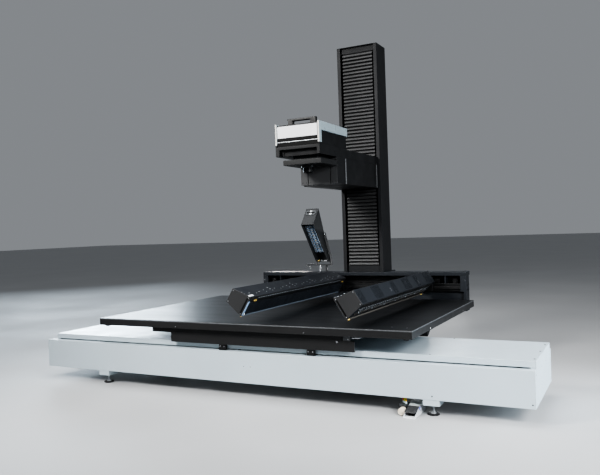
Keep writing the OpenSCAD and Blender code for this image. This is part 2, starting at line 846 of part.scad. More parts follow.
module table_edges() {
    h = table_len / 2;
    y1 = table_y + table_depth;
    color([0.1, 0.11, 0.12]) centred() translate([table_x, 0, 0]) {
        box([-h, table_y, table_z], [h, table_y + edge_t, table_top]);
        box([-h, y1 - edge_t, table_z], [h, y1, table_top]);
        for (s = [0, 1]) mirror([s, 0, 0])
            box([h - edge_t, table_y + edge_t + butt_gap, table_z],
                [h, y1 - edge_t - butt_gap, table_top]);
    }
}

module subframe() {
    h = subframe_len / 2;
    y_list = [0, base_depth - 40, table_y + table_depth - 140];
    color([0.08, 0.08, 0.09]) centred() translate([table_x, 0, 0]) {
        for (y = y_list) box([-h, y, sub_z], [h, y + 40, table_z]);
        for (x = [-h, -h / 3, h / 3 - 50, h - 50], i = [0, 1])
            box([x, y_list[i] + 40 + butt_gap, sub_z],
                [x + 50, y_list[i + 1] - butt_gap, table_z]);
        for (s = [0, 1]) mirror([s, 0, 0])
            box([h + butt_gap, base_depth - 40, sub_z], [h + 380, base_depth, table_z]);
    }
}

module aprons() {
    color([0.07, 0.07, 0.08]) centred() {
        box([front_apron_x - front_apron_len / 2, apron_in, sub_z - apron_h],
            [front_apron_x + front_apron_len / 2, apron_in + apron_t, sub_z]);
        box([table_x - rear_apron_len / 2, base_depth - apron_in - apron_t, sub_z - apron_h],
            [table_x + rear_apron_len / 2, base_depth - apron_in, sub_z]);
    }
}

module slot_brackets() {
    y0 = apron_in + apron_t;
    color([0.1, 0.1, 0.11]) centred() {
        front_and_rear() for (x = [bracket_left, bracket_right]) {
            box([table_x + x - bracket_w / 2, y0, tongue_z],
                [table_x + x + bracket_w / 2, y0 + 18, sub_z]);
            box([table_x + x - bracket_w / 2, y0, tongue_z],
                [table_x + x + bracket_w / 2, rail_in + 28, tongue_z + tongue_t]);
        }
        difference() {
            box([clamp_x - bracket_w / 2, rail_in + 28, pulley_z + belt_in_r - 12],
                [clamp_x + bracket_w / 2, pulley_y + belt_w / 2 + 10, tongue_z + tongue_t]);
            box([clamp_x - bracket_w / 2 - eps, rail_in + 28 - eps, pulley_z],
                [clamp_x + bracket_w / 2 + eps, pulley_y - belt_w / 2 - 6, tongue_z]);
            box([clamp_x - bracket_w / 2 - eps, rail_in, pulley_z + belt_in_r - slide_gap],
                [clamp_x + bracket_w / 2 + eps, pulley_y + belt_w / 2 + slide_gap,
                    pulley_z + belt_out_r + slide_gap]);
        }
    }
}

module bearing_blocks() {
    color([0.6, 0.61, 0.63]) centred() front_and_rear()
        for (x = [bracket_left, bracket_right]) difference() {
            box([table_x + x - block_len / 2, rail_in - 26, block_z],
                [table_x + x + block_len / 2, rail_in + 26, tongue_z]);
            box([table_x + x - block_len / 2 - eps, rail_in - rail_w / 2 - slide_gap,
                    block_z - eps],
                [table_x + x + block_len / 2 + eps, rail_in + rail_w / 2 + slide_gap,
                    rail_z + rail_h + slide_gap]);
        }
}

module table_braces() {
    y = base_depth - apron_in;
    z = sub_z - apron_h;
    run = (table_z - z) * 1.9;
    color([0.16, 0.16, 0.17]) centred()
        for (x = [-rear_apron_len / 2, rear_apron_len / 2 - 20])
            along_x(table_x + x, table_x + x + 20) polygon([
                [y, z], [y, z + 26], [y + run - 49, table_z], [y + run, table_z]]);
}

// Light bar at its place, bright face towards the middle
module light_place(right) {
    translate([right ? right_light_x : left_light_x, 0, light_z])
        mirror([right ? 1 : 0, 0, 0]) rotate([0, light_tilt, 0]) children();
}

// Cross-section of a light bar, made smaller by t all round
module light_section(t) {
    polygon([
        [light_depth / 2 - t, light_face / 2 - t], [light_depth / 2 - t, -light_face / 2 + t],
        [-light_depth / 2 + t, -light_back / 2 + t], [-light_depth / 2 + t, light_back / 2 - t]]);
}

module light_housing(right) {
    centred() light_place(right) difference() {
        along_y(light_y0 + 6, light_y1 - 6) light_section(0);
        along_y(light_y0, light_y1) light_section(light_t);
        box([light_depth / 2 - 14, light_y0, -light_face / 2 + 6],
            [light_depth / 2 + eps, light_y1, light_face / 2 - 6]);
    }
}

module light_ends(right) {
    centred() light_place(right) {
        along_y(light_y0, light_y0 + 6) light_section(0);
        along_y(light_y1 - 6, light_y1) light_section(0);
        rod_y(0, light_y1, slider_y1 - 4, 0, light_shaft_d);
    }
}

module light_window(right) {
    centred() light_place(right)
        box([light_depth / 2 - 8, light_y0 + 6, -light_face / 2 + 6],
            [light_depth / 2 - 4, light_y1 - 6, light_face / 2 - 6]);
}

module light_slider(right) {
    x = right ? right_light_x : left_light_x;
    centred() difference() {
        box([x - slider_w / 2, slider_y0, light_rail_z - 28],
            [x + slider_w / 2, slider_y1, bridge_z - bridge_top_t - 8]);
        box([x - slider_w / 2 - eps, beam_y - light_rail_out - slide_gap,
                light_rail_z - light_rail_h / 2 - slide_gap],
            [x + slider_w / 2 + eps, beam_y, light_rail_z + light_rail_h / 2 + slide_gap]);
        rod_y(x, slider_y0 - eps, slider_y1 + eps, light_z, light_shaft_d + 2 * run_gap);
    }
}

module left_light_slider() {
    color([0.2, 0.2, 0.21]) light_slider(false);
}

module left_light_housing() {
    color([0.09, 0.09, 0.1]) light_housing(false);
}

module left_light_ends() {
    color([0.12, 0.12, 0.13]) light_ends(false);
}

module left_light_window() {
    color([0.2, 0.24, 0.28]) light_window(false);
}

module right_light_slider() {
    color([0.2, 0.2, 0.21]) light_slider(true);
}

module right_light_housing() {
    color([0.09, 0.09, 0.1]) light_housing(true);
}

module right_light_ends() {
    color([0.12, 0.12, 0.13]) light_ends(true);
}

module right_light_window() {
    color([0.2, 0.24, 0.28]) light_window(true);
}

module lamp_stand() {
    w = lamp_w / 2 + 2;
    color([0.1, 0.1, 0.11]) centred() translate([lamp_x, lamp_y, lamp_z]) {
        for (x = [lamp_post_x, lamp_post_x + lamp_post_gap])
            translate([x, (lamp_plate_y0 + lamp_plate_y1) / 2, -lamp_post_h])
                cylinder(d = lamp_post_d, h = lamp_post_h);
        box([-w - lamp_plate_over, lamp_plate_y0, 0], [w + 6, lamp_plate_y1, lamp_plate_t]);
        for (s = [0, 1]) mirror([s, 0, 0]) {
            difference() {
                along_x(w, w + 6) polygon([
                    [lamp_plate_y0, lamp_plate_t], [lamp_plate_y1, lamp_plate_t],
                    [lamp_plate_y1, 60],
                    [lamp_pivot[0] + 22, lamp_pivot[1] + 18],
                    [lamp_pivot[0] - 18, lamp_pivot[1] + 18],
                    [lamp_pivot[0] - 18, lamp_pivot[1] - 18], [lamp_plate_y0, 60]]);
                rod_x(w - eps, w + 7, lamp_pivot[0], lamp_pivot[1],
                    lamp_bolt_d + 2 * run_gap);
            }
            rod_x(lamp_w / 2 - lamp_t - 6, w + 6, lamp_pivot[0], lamp_pivot[1], lamp_bolt_d);
            rod_x(w + 6, w + 16, lamp_pivot[0], lamp_pivot[1], lamp_bolt_d + 10);
        }
    }
}

module lamp_housing() {
    t = lamp_t;
    color([0.12, 0.12, 0.13]) centred() translate([lamp_x, lamp_y, lamp_z]) difference() {
        along_x(-lamp_w / 2, lamp_w / 2) polygon(lamp_side);
        along_x(-lamp_w / 2 + t, lamp_w / 2 - t) polygon([
            lamp_side[0] + [-9, 12], lamp_side[1] + [-40, 22],
            lamp_side[2] + [-4, -12], lamp_side[3] + [-2, -9]]);
        rod_x(-lamp_w, lamp_w, lamp_pivot[0], lamp_pivot[1], lamp_bolt_d + 2 * run_gap);
    }
}

module lamp_led_panel() {
    t = lamp_t;
    color([0.75, 0.8, 0.85]) centred() translate([lamp_x, lamp_y, lamp_z])
        along_x(-lamp_w / 2 + t, lamp_w / 2 - t) polygon([
            lamp_side[1] + [-19, 94], lamp_side[1] + [-13, 99],
            lamp_side[2] + [73, -5], lamp_side[2] + [67, -10]]);
}

module pedal_base() {
    h = pedal_w / 2;
    t = pedal_plate_t;
    color([0.85, 0.86, 0.86]) centred() translate([pedal_x, 0, 0]) {
        box([-h, pedal_y0, 0], [h, pedal_y1, t]);
        for (s = [0, 1]) mirror([s, 0, 0]) difference() {
            along_x(h - cheek_t, h) polygon([
                [pedal_y0 + 4, t], [pedal_y1, t], [pedal_y1, cheek_h - 16],
                [cheek_y1, cheek_h], [cheek_y0, cheek_h], [pedal_y0 + 4, t + 3]]);
            rod_x(h - cheek_t - eps, h + eps, pedal_pin[0], pedal_pin[1],
                pedal_pin_d + 2 * run_gap);
        }
        along_x(-h + cheek_t, h - cheek_t) polygon([
            [pedal_pin[0] + 20, t], [pedal_y1 - 2, t], [pedal_y1 - 2, cheek_h - 18],
            [cheek_y1, cheek_h - 4], [cheek_y0, cheek_h - 4],
            [pedal_pin[0] + 20, cheek_h - 10]]);
        rod_x(-h, h, pedal_pin[0], pedal_pin[1], pedal_pin_d);
        rod_x(h, h + 7, pedal_pin[0], pedal_pin[1], 22);
    }
}

module pedal_treadle() {
    h = pedal_w / 2 - cheek_t - 1;
    y = pedal_pin[0];
    z = pedal_pin[1];
    color([0.3, 0.31, 0.32]) centred() translate([pedal_x, 0, 0]) difference() {
        along_x(-h, h) polygon([
            [pedal_y0 + 16, z - 8], [y - 12, z - 10], [y + 12, z - 10],
            [y + 12, z + 12], [y - 14, z + 14], [pedal_y0 + 16, z + 2]]);
        rod_x(-h - eps, h + eps, y, z, pedal_pin_d + 2 * run_gap);
    }
}

module pedal_valve() {
    x1 = pedal_x - pedal_w / 2;
    color([0.25, 0.25, 0.26]) centred() {
        box([x1 - valve_w, 0, 0], [x1, 70, valve_h]);
        rod_y(x1 - valve_cap_d / 2 - butt_gap, -valve_cap_len, 0, valve_cap_d / 2 + 2.5, valve_cap_d);
    }
}

module pedal_tubes() {
    x1 = pedal_x - pedal_w / 2;
    color([0.75, 0.2, 0.15]) centred() for (i = [0 : 2])
        translate([x1 - 14 - 14 * i, 30 + 12 * i, valve_h])
            cylinder(d = 8, h = base_clear - valve_h);
}

base_side_panels();
base_end_plates();
base_floor();
top_cover();
cover_posts();
rail_beams();
guide_rails();
drive_belt();
drive_motor();
pulley_brackets();
foot_brackets();
levelling_feet();
rear_base();
column_plinth();
bridge_top();
bridge_beam();
bridge_ends();
light_rail();
power_inlet();
column_sides();
column_back();
column_cap();
slat_curtain();
lift_rails();
lift_drive();
lamp_stand();
pedal_base();
pedal_valve();
pedal_tubes();
drive_pulley();
idler_pulley();
lift_screw();
lift_carriage();
arm_box();
arm_front_box();
upper_arm();
head_core();
head_side_frames();
head_front_plate();
head_handle();
lens_plate();
lens_barrel();
table_board();
table_edges();
subframe();
aprons();
slot_brackets();
bearing_blocks();
table_braces();
left_light_slider();
left_light_housing();
left_light_ends();
left_light_window();
right_light_slider();
right_light_housing();
right_light_ends();
right_light_window();
lamp_housing();
lamp_led_panel();
pedal_treadle();
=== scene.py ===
"""Large-format table scanner: finishes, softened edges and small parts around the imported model."""
import json
import math

import bmesh
import bpy
from mathutils import Matrix, Vector


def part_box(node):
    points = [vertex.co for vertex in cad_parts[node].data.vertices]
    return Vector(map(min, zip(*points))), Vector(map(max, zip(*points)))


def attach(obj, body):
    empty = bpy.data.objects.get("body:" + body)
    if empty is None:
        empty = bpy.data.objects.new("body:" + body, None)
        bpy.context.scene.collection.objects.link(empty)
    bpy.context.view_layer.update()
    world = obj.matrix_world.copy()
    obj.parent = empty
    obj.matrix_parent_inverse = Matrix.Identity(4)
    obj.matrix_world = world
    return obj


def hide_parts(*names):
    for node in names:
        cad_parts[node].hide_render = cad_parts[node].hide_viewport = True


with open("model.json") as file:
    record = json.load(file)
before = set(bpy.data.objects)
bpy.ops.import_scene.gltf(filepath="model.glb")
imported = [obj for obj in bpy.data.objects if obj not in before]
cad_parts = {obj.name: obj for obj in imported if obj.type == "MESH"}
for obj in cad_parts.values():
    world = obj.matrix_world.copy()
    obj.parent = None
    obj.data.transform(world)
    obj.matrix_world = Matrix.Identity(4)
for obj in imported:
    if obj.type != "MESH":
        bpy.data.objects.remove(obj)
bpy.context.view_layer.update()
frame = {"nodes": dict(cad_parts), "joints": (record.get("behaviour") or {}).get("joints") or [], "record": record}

scene = bpy.context.scene
cad = frame["nodes"]
slot_of = {p["node"]: p["material_slot"] for p in frame["record"]["subparts"]}
body_of = {n: b for b, group in frame["record"]["behaviour"]["bodies"].items() for n in group}
pivot_of = {j["name"]: Vector(j["pos_m"]) for j in frame["joints"] if "pos_m" in j}

X, Y, Z = Vector((1, 0, 0)), Vector((0, 1, 0)), Vector((0, 0, 1))


# Camera

def place_camera():
    """The camera of the photograph, in the frame of the model."""
    eye = Vector((2.5501, -5.0031, 1.2049))
    yaw, pitch, roll = (math.radians(a) for a in (27.3153, -0.6777, -1.9709))
    focal_px, image_w, sensor = 653.33, 600, 36.0
    ahead = Vector((-math.sin(yaw) * math.cos(pitch), math.cos(yaw) * math.cos(pitch),
                    math.sin(pitch)))
    level = Vector((math.cos(yaw), math.sin(yaw), 0))
    above = level.cross(ahead)
    right = level * math.cos(roll) + above * math.sin(roll)
    up = above * math.cos(roll) - level * math.sin(roll)
    lens = bpy.data.cameras.new("camera")
    lens.sensor_fit, lens.sensor_width = "HORIZONTAL", sensor
    lens.lens = sensor * focal_px / image_w
    lens.clip_start, lens.clip_end = 0.05, 200
    camera = bpy.data.objects.new("camera", lens)
    scene.collection.objects.link(camera)
    turn = Matrix((right, up, -ahead)).transposed().to_4x4()
    camera.matrix_world = Matrix.Translation(eye) @ turn
    scene.camera = camera


place_camera()


# Finishes

class Finish:
    """A node material, with short ways to add the nodes that feed its shader."""

    def __init__(self, name, metal=0.0, shine=0.5):
        self.material = bpy.data.materials.new(name)
        self.material.use_nodes = True
        self.tree = self.material.node_tree
        self.shader = self.tree.nodes["Principled BSDF"]
        self.shader.inputs["Metallic"].default_value = metal
        self.shader.inputs["Specular IOR Level"].default_value = shine
        self.place = self.tree.nodes.new("ShaderNodeTexCoord").outputs["Object"]

    def feed(self, socket, value):
        if isinstance(value, bpy.types.NodeSocket):
            self.tree.links.new(value, socket)
        elif isinstance(value, tuple) and len(value) == 3 and socket.type == "RGBA":
            socket.default_value = (*value, 1)
        else:
            socket.default_value = value

    def add(self, kind, feeds, out, **settings):
        node = self.tree.nodes.new(kind)
        for key, value in settings.items():
            setattr(node, key, value)
        for key, value in feeds.items():
            self.feed(node.inputs[key], value)
        return node.outputs[out]

    def noise(self, scale, detail=3.0, stretch=None, harsh=0.5):
        place = self.place
        if stretch:
            place = self.add("ShaderNodeMapping", {"Vector": place, "Scale": stretch}, "Vector")
        return self.add("ShaderNodeTexNoise", {"Vector": place, "Scale": scale,
                                               "Detail": detail, "Roughness": harsh}, "Fac")

    def span(self, value, low, high, to_low=0.0, to_high=1.0):
        return self.add("ShaderNodeMapRange", {"Value": value, 1: low, 2: high, 3: to_low,
                                               4: to_high}, "Result")

    def mix(self, share, a, b):
        return self.add("ShaderNodeMix", {0: share, 6: a, 7: b}, 2, data_type="RGBA")

    def product(self, a, b):
        return self.add("ShaderNodeMath", {0: a, 1: b}, 0, operation="MULTIPLY")

    def corners(self, reach):
        """A mask that is 1 along the outer and inner edges of a piece."""
        soft = self.add("ShaderNodeBevel", {"Radius": reach}, "Normal", samples=4)
        hard = self.add("ShaderNodeNewGeometry", {}, "Normal")
        like = self.add("ShaderNodeVectorMath", {0: soft, 1: hard}, "Value",
                        operation="DOT_PRODUCT")
        return self.span(like, 0.99, 0.8)

    def dress(self, colour, rough, height=None, depth=0.0003, strength=0.3):
        self.feed(self.shader.inputs["Base Color"], colour)
        self.feed(self.shader.inputs["Roughness"], rough)
        if height is not None:
            bump = self.add("ShaderNodeBump", {"Height": height, "Distance": depth,
                                               "Strength": strength}, "Normal")
            self.feed(self.shader.inputs["Normal"], bump)
        return self.material


def scaled(tone, by):
    return tuple(min(1.0, c * by) for c in tone)


def powder_coat(name, tone, rough=(0.38, 0.5), drift=0.05, peel=0.25, rub_and_highlight=None, grain=520.0,
                shine=0.5):
    """Sprayed and baked paint: drifting tone, orange peel, and lighter edges that are partly rubbed wear and
    partly a painted highlight.
    """
    f = Finish(name, shine=shine)
    broad = f.span(f.noise(1.6, 4.0), 0.3, 0.7)
    colour = f.mix(broad, scaled(tone, 1 - drift), scaled(tone, 1 + drift))
    speckle = f.span(f.noise(900.0, 1.0), 0.62, 0.75)
    colour = f.mix(f.product(speckle, 0.25), colour, scaled(tone, 0.8))
    # Lighter colour along the edges: partly rubbed wear, partly a painted edge highlight.
    if rub_and_highlight:
        worn_and_highlit = f.product(f.corners(0.004), f.span(f.noise(55.0, 4.0), 0.4, 0.65))
        colour = f.mix(f.product(worn_and_highlit, 0.6), colour, rub_and_highlight)
    sheen = f.span(f.noise(7.0, 4.0), 0.3, 0.7, rough[0], rough[1])
    return f.dress(colour, sheen, f.noise(grain, 2.0), 0.0004, peel)


def bare_metal(name, tone, rough=(0.22, 0.38), stretch=(3.0, 3.0, 260.0), strength=0.15):
    """Metal with fine brushed lines."""
    f = Finish(name, metal=1.0)
    lines = f.noise(6.0, 4.0, stretch)
    cloud = f.span(f.noise(12.0, 3.0), 0.3, 0.7)
    colour = f.mix(cloud, scaled(tone, 0.88), tone)
    colour = f.mix(f.span(lines, 0.35, 0.75), colour, scaled(tone, 0.78))
    return f.dress(colour, f.span(lines, 0.3, 0.7, rough[0], rough[1]), lines, 0.0002, strength)


def moulded(name, tone, rough=(0.45, 0.6), grain=700.0, strength=0.35, drift=0.1):
    """Moulded plastic or rubber with a fine spark-eroded grain."""
    f = Finish(name)
    cloud = f.span(f.noise(14.0, 4.0), 0.3, 0.7)
    colour = f.mix(cloud, scaled(tone, 1 - drift), scaled(tone, 1 + drift))
    cells = f.add("ShaderNodeTexVoronoi", {"Vector": f.place, "Scale": grain}, "Distance")
    scuff = f.span(f.noise(90.0, 5.0), 0.55, 0.7, rough[0], rough[1])
    return f.dress(colour, scuff, cells, 0.0003, strength)


def laminate(name, tone):
    """The hard satin face of the table, with wipe marks and a faint fine grain."""
    f = Finish(name, shine=0.42)
    broad = f.span(f.noise(0.9, 5.0), 0.3, 0.7)
    colour = f.mix(broad, scaled(tone, 0.9), scaled(tone, 1.12))
    dust = f.product(f.span(f.noise(240.0, 2.0), 0.66, 0.78), 0.12)
    colour = f.mix(dust, colour, (0.12, 0.125, 0.13))
    wipes = f.noise(2.2, 5.0, (0.6, 3.0, 1.0), 0.6)
    sheen = f.span(wipes, 0.3, 0.7, 0.35, 0.41)
    return f.dress(colour, sheen, f.noise(900.0, 2.0), 0.0002, 0.12)


def smoked_glass(name, tone, coat=0.6):
    """Dark tinted pane: clear gloss over a deep tone, with faint smears."""
    f = Finish(name, shine=0.6)
    smear = f.span(f.noise(5.0, 5.0, (1.0, 4.0, 1.0)), 0.35, 0.7)
    colour = f.mix(smear, tone, scaled(tone, 1.35))
    f.shader.inputs["Coat Weight"].default_value = coat
    f.shader.inputs["Coat Roughness"].default_value = 0.06
    return f.dress(colour, f.span(smear, 0, 1, 0.1, 0.22), f.noise(60.0, 2.0), 0.0002, 0.05)


def lens_glass(name):
    """Coated front glass of a lens: near black, with a blue and violet bloom."""
    f = Finish(name, shine=0.9)
    bloom = f.add("ShaderNodeLayerWeight", {"Blend": 0.35}, "Facing")
    colour = f.mix(bloom, (0.012, 0.01, 0.03), (0.09, 0.05, 0.2))
    f.shader.inputs["Coat Weight"].default_value = 1.0
    f.shader.inputs["Coat Roughness"].default_value = 0.02
    return f.dress(colour, f.span(f.noise(40.0, 3.0), 0.3, 0.7, 0.03, 0.07))


def circuit_board(name, tone):
    """Solder-masked board with fine tracks."""
    f = Finish(name)
    turned = f.add("ShaderNodeMapping", {"Vector": f.place,
                                         "Rotation": (math.radians(-50), 0, 0)}, "Vector")
    tracks = f.add("ShaderNodeTexBrick", {"Vector": turned, "Scale": 34.0, "Mortar Size": 0.035,
                                          "Color1": (1, 1, 1), "Color2": (0.86, 0.86, 0.86),
                                          "Mortar": (0.0, 0.0, 0.0)}, "Color")
    cloud = f.span(f.noise(30.0, 4.0), 0.3, 0.7)
    colour = f.mix(cloud, scaled(tone, 0.9), tone)
    colour = f.mix(f.add("ShaderNodeRGBToBW", {"Color": tracks}, "Val"),
                   scaled(tone, 0.45), colour)
    return f.dress(colour, f.span(cloud, 0, 1, 0.3, 0.45), f.noise(500.0, 2.0), 0.0002, 0.1)


def clear_tube(name, tone):
    """Pneumatic hose: waxy, slightly glossy, with a faint drift along its length."""
    f = Finish(name)
    f.shader.inputs["Subsurface Weight"].default_value = 0.15
    f.shader.inputs["Subsurface Radius"].default_value = (0.002, 0.002, 0.002)
    cloud = f.span(f.noise(60.0, 4.0), 0.3, 0.7)
    return f.dress(f.mix(cloud, scaled(tone, 0.85), tone), f.span(cloud, 0, 1, 0.28, 0.42),
                   f.noise(400.0, 2.0), 0.0002, 0.15)


WHITE_COAT = powder_coat("white powder coat", (0.46, 0.527, 0.57), drift=0.035,
                         rub_and_highlight=(0.7, 0.75, 0.78))
COVER_COAT = powder_coat("white cover coat", (0.46, 0.527, 0.57), rough=(0.3, 0.42), drift=0.03,
                         rub_and_highlight=(0.7, 0.75, 0.78))
STEEL_PRIMER = powder_coat("pale primed steel", (0.42, 0.44, 0.45), rough=(0.5, 0.65), drift=0.08)
RAIL_STEEL = bare_metal("ground rail steel", (0.6, 0.62, 0.65), stretch=(2.0, 200.0, 200.0))
BELT_RUBBER = moulded("toothed belt rubber", (0.02, 0.02, 0.021), rough=(0.6, 0.75), grain=400.0)
MOTOR_BLACK = powder_coat("motor black", (0.02, 0.021, 0.023), rub_and_highlight=(0.1, 0.1, 0.11))
FOOT_RUBBER = moulded("foot pad rubber", (0.018, 0.018, 0.019), rough=(0.5, 0.68))
ZINC = bare_metal("zinc plated steel", (0.62, 0.64, 0.66), rough=(0.25, 0.42),
                  stretch=(30.0, 30.0, 30.0))
BRIGHT_SCREW = bare_metal("bright screw steel", (0.75, 0.76, 0.78), rough=(0.16, 0.3),
                          stretch=(60.0, 60.0, 60.0))
DARK_SCREW = bare_metal("blackened screw steel", (0.055, 0.057, 0.06), rough=(0.3, 0.48),
                        stretch=(60.0, 60.0, 60.0))
CHROME = bare_metal("polished clip", (0.82, 0.84, 0.87), rough=(0.08, 0.18),
                    stretch=(20.0, 20.0, 20.0), strength=0.05)
ALUMINIUM = bare_metal("brushed aluminium", (0.66, 0.68, 0.7), rough=(0.26, 0.4),
                       stretch=(120.0, 3.0, 120.0))
BLACK_SHEET = powder_coat("black sheet coat", (0.0095, 0.0098, 0.0105), rough=(0.36, 0.5),
                          drift=0.15, rub_and_highlight=(0.06, 0.062, 0.065), shine=0.38)
BLACK_PROFILE = powder_coat("black edge profile", (0.019, 0.019, 0.0195), rough=(0.34, 0.46),
                            drift=0.12, rub_and_highlight=(0.11, 0.112, 0.115), shine=0.38)
TABLE_FACE = laminate("black table laminate", (0.0122, 0.0132, 0.0148))
COLUMN_GREY = powder_coat("column charcoal coat", (0.019, 0.02, 0.022), rough=(0.47, 0.53),
                          drift=0.1, rub_and_highlight=(0.09, 0.092, 0.095), shine=0.4)
SLAT_GREY = powder_coat("curtain slat coat", (0.064, 0.0642, 0.065), rough=(0.45, 0.6), drift=0.15,
                        grain=300.0, shine=0.35)
ARM_GREY = powder_coat("arm charcoal coat", (0.0125, 0.013, 0.014), rough=(0.4, 0.54), drift=0.12,
                       rub_and_highlight=(0.07, 0.072, 0.075), shine=0.38)
LENS_PLATE_GREY = powder_coat("lens plate coat", (0.02, 0.0204, 0.0212), rough=(0.38, 0.52),
                              drift=0.1, rub_and_highlight=(0.12, 0.122, 0.125), shine=0.4)
# Lighter than the arm's grey: painted light that offsets the shade under the lens plate on the front box.
FRONT_LIGHTENED_GREY = powder_coat("front box grey coat", (0.066, 0.067, 0.069), rough=(0.38, 0.52),
                         drift=0.1, rub_and_highlight=(0.16, 0.162, 0.165), shine=0.4)
ARM_FLANGE = powder_coat("bare arm flange", (0.19, 0.194, 0.2), rough=(0.32, 0.46), drift=0.08,
                         rub_and_highlight=(0.4, 0.405, 0.41), shine=0.4)
FLANGE_GREY = powder_coat("grey bracket coat", (0.085, 0.09, 0.096), rough=(0.34, 0.48), drift=0.08,
                          rub_and_highlight=(0.25, 0.255, 0.26), shine=0.4)
TRIM_GREY = powder_coat("dark trim profile", (0.03, 0.031, 0.033), rough=(0.3, 0.44), drift=0.15,
                        rub_and_highlight=(0.2, 0.205, 0.21), shine=0.45)
TRIM_PALE = powder_coat("pale trim profile", (0.5, 0.55, 0.6), rough=(0.28, 0.4), drift=0.08,
                        rub_and_highlight=(0.66, 0.69, 0.72))
BAR_COAT = powder_coat("blue black bar coat", (0.0165, 0.0195, 0.0245), rough=(0.36, 0.5),
                       drift=0.12, rub_and_highlight=(0.07, 0.075, 0.085), shine=0.42)
BAR_END = powder_coat("bar end plate coat", (0.034, 0.0343, 0.0352), rough=(0.4, 0.54), drift=0.1,
                      rub_and_highlight=(0.1, 0.102, 0.105), shine=0.4)
BRIDGE_COAT = powder_coat("bridge end coat", (0.021, 0.0245, 0.03), rough=(0.38, 0.52), drift=0.1,
                          rub_and_highlight=(0.09, 0.095, 0.1), shine=0.4)
TRIM_BRONZE = powder_coat("bronze trim profile", (0.1, 0.091, 0.079), rough=(0.3, 0.44),
                          drift=0.12, rub_and_highlight=(0.26, 0.24, 0.21), shine=0.45)
CHIP_GREY = powder_coat("grey chip coat", (0.2, 0.21, 0.222), rough=(0.3, 0.44), drift=0.15,
                        rub_and_highlight=(0.4, 0.41, 0.43), shine=0.45)
# Blue grey of the bars' lower lip: a painted reflection of blue light along the window's lower edge.
LIP_REFLECTION_BLUE = powder_coat("blue grey lip profile", (0.2, 0.25, 0.31), rough=(0.28, 0.42), drift=0.12,
                       rub_and_highlight=(0.4, 0.44, 0.48), shine=0.45)
LAMP_GREY = powder_coat("lamp charcoal coat", (0.042, 0.044, 0.047), rough=(0.4, 0.54), drift=0.1,
                        rub_and_highlight=(0.12, 0.122, 0.125), shine=0.4)
STRIP_BLUE = moulded("pale blue window strip", (0.4, 0.56, 0.78), rough=(0.2, 0.34), grain=900.0,
                     strength=0.08, drift=0.05)
CLIP_WHITE = moulded("white end clip", (0.82, 0.84, 0.86), rough=(0.24, 0.38), grain=900.0,
                     strength=0.1, drift=0.04)
SOCKET_AMBER = moulded("amber socket", (0.88, 0.62, 0.18), rough=(0.24, 0.38), grain=900.0,
                       strength=0.1, drift=0.06)
SILVER_COAT = powder_coat("silver frame coat", (0.42, 0.51, 0.55), rough=(0.26, 0.38), drift=0.03,
                          rub_and_highlight=(0.7, 0.77, 0.8))
FRAME_EDGE = powder_coat("pale frame edge", (0.7, 0.685, 0.65), rough=(0.26, 0.38), drift=0.03,
                         rub_and_highlight=(0.8, 0.79, 0.76))
PLATE_WHITE = powder_coat("white front plate", (0.88, 0.885, 0.89), rough=(0.24, 0.34), drift=0.02,
                          peel=0.1)
STRIPE_BLACK = powder_coat("black front stripe", (0.004, 0.004, 0.0042), rough=(0.3, 0.42),
                           drift=0.15, peel=0.1, shine=0.2)
HANDLE_BLACK = moulded("handle black", (0.01, 0.01, 0.0105), rough=(0.42, 0.55), grain=500.0)
LENS_BLACK = powder_coat("anodised lens barrel", (0.007, 0.007, 0.0075), rough=(0.3, 0.42),
                         drift=0.1, rub_and_highlight=(0.08, 0.08, 0.085), shine=0.4)
LENS_GLASS = lens_glass("coated lens glass")
LIGHT_GLASS = smoked_glass("ribbed light window", (0.04, 0.046, 0.056))
LED_BOARD = circuit_board("blue led board", (0.2, 0.28, 0.38))
LED_CUP = smoked_glass("pressed led cup", (0.4, 0.5, 0.63), coat=0.8)
LED_AMBER = smoked_glass("led phosphor", (0.68, 0.46, 0.2), coat=0.8)
PEDAL_WHITE = powder_coat("pedal white coat", (0.72, 0.74, 0.76), rough=(0.34, 0.46), drift=0.05,
                          rub_and_highlight=(0.5, 0.51, 0.52))
PEDAL_GREY = moulded("treadle grey", (0.06, 0.061, 0.063), rough=(0.45, 0.6), grain=600.0)
PEDAL_COVER = moulded("pedal cover grey", (0.56, 0.61, 0.6), rough=(0.35, 0.5), grain=800.0)
PEDAL_BLUE = moulded("blue pivot cap", (0.03, 0.055, 0.36), rough=(0.3, 0.42), grain=900.0)
VALVE_CREAM = moulded("cream valve cap", (0.7, 0.63, 0.52), rough=(0.38, 0.5), grain=700.0,
                      drift=0.06)
VALVE_DARK = moulded("valve body", (0.03, 0.034, 0.036), rough=(0.4, 0.55))
TUBE_RED = clear_tube("red hose", (0.75, 0.06, 0.02))
TUBE_LIME = clear_tube("lime hose", (0.45, 0.7, 0.07))
TUBE_YELLOW = clear_tube("yellow hose", (0.85, 0.5, 0.03))
FITTING_PALE = moulded("pale push fitting", (0.62, 0.74, 0.78), rough=(0.3, 0.42), grain=900.0,
                       strength=0.1, drift=0.05)
INLET_BLACK = moulded("inlet black", (0.016, 0.016, 0.017), rough=(0.35, 0.5))
CONTACT = bare_metal("contact metal", (0.7, 0.66, 0.5), stretch=(40.0, 40.0, 40.0))
# Near-black that stands in for shade in gaps, recesses and wells: painted shade.
PAINTED_SHADE_BLACK = powder_coat("unlit inside", (0.008, 0.008, 0.009), rough=(0.6, 0.75))


# Making meshes

def hang(name, mesh):
    """A new object at the origin that holds this mesh."""
    thing = bpy.data.objects.new(name, mesh)
    scene.collection.objects.link(thing)
    return thing


def poured(bm, name):
    """A new object that holds what was built in bm, which is used up."""
    mesh = bpy.data.meshes.new(name)
    bm.to_mesh(mesh)
    bm.free()
    return hang(name, mesh)


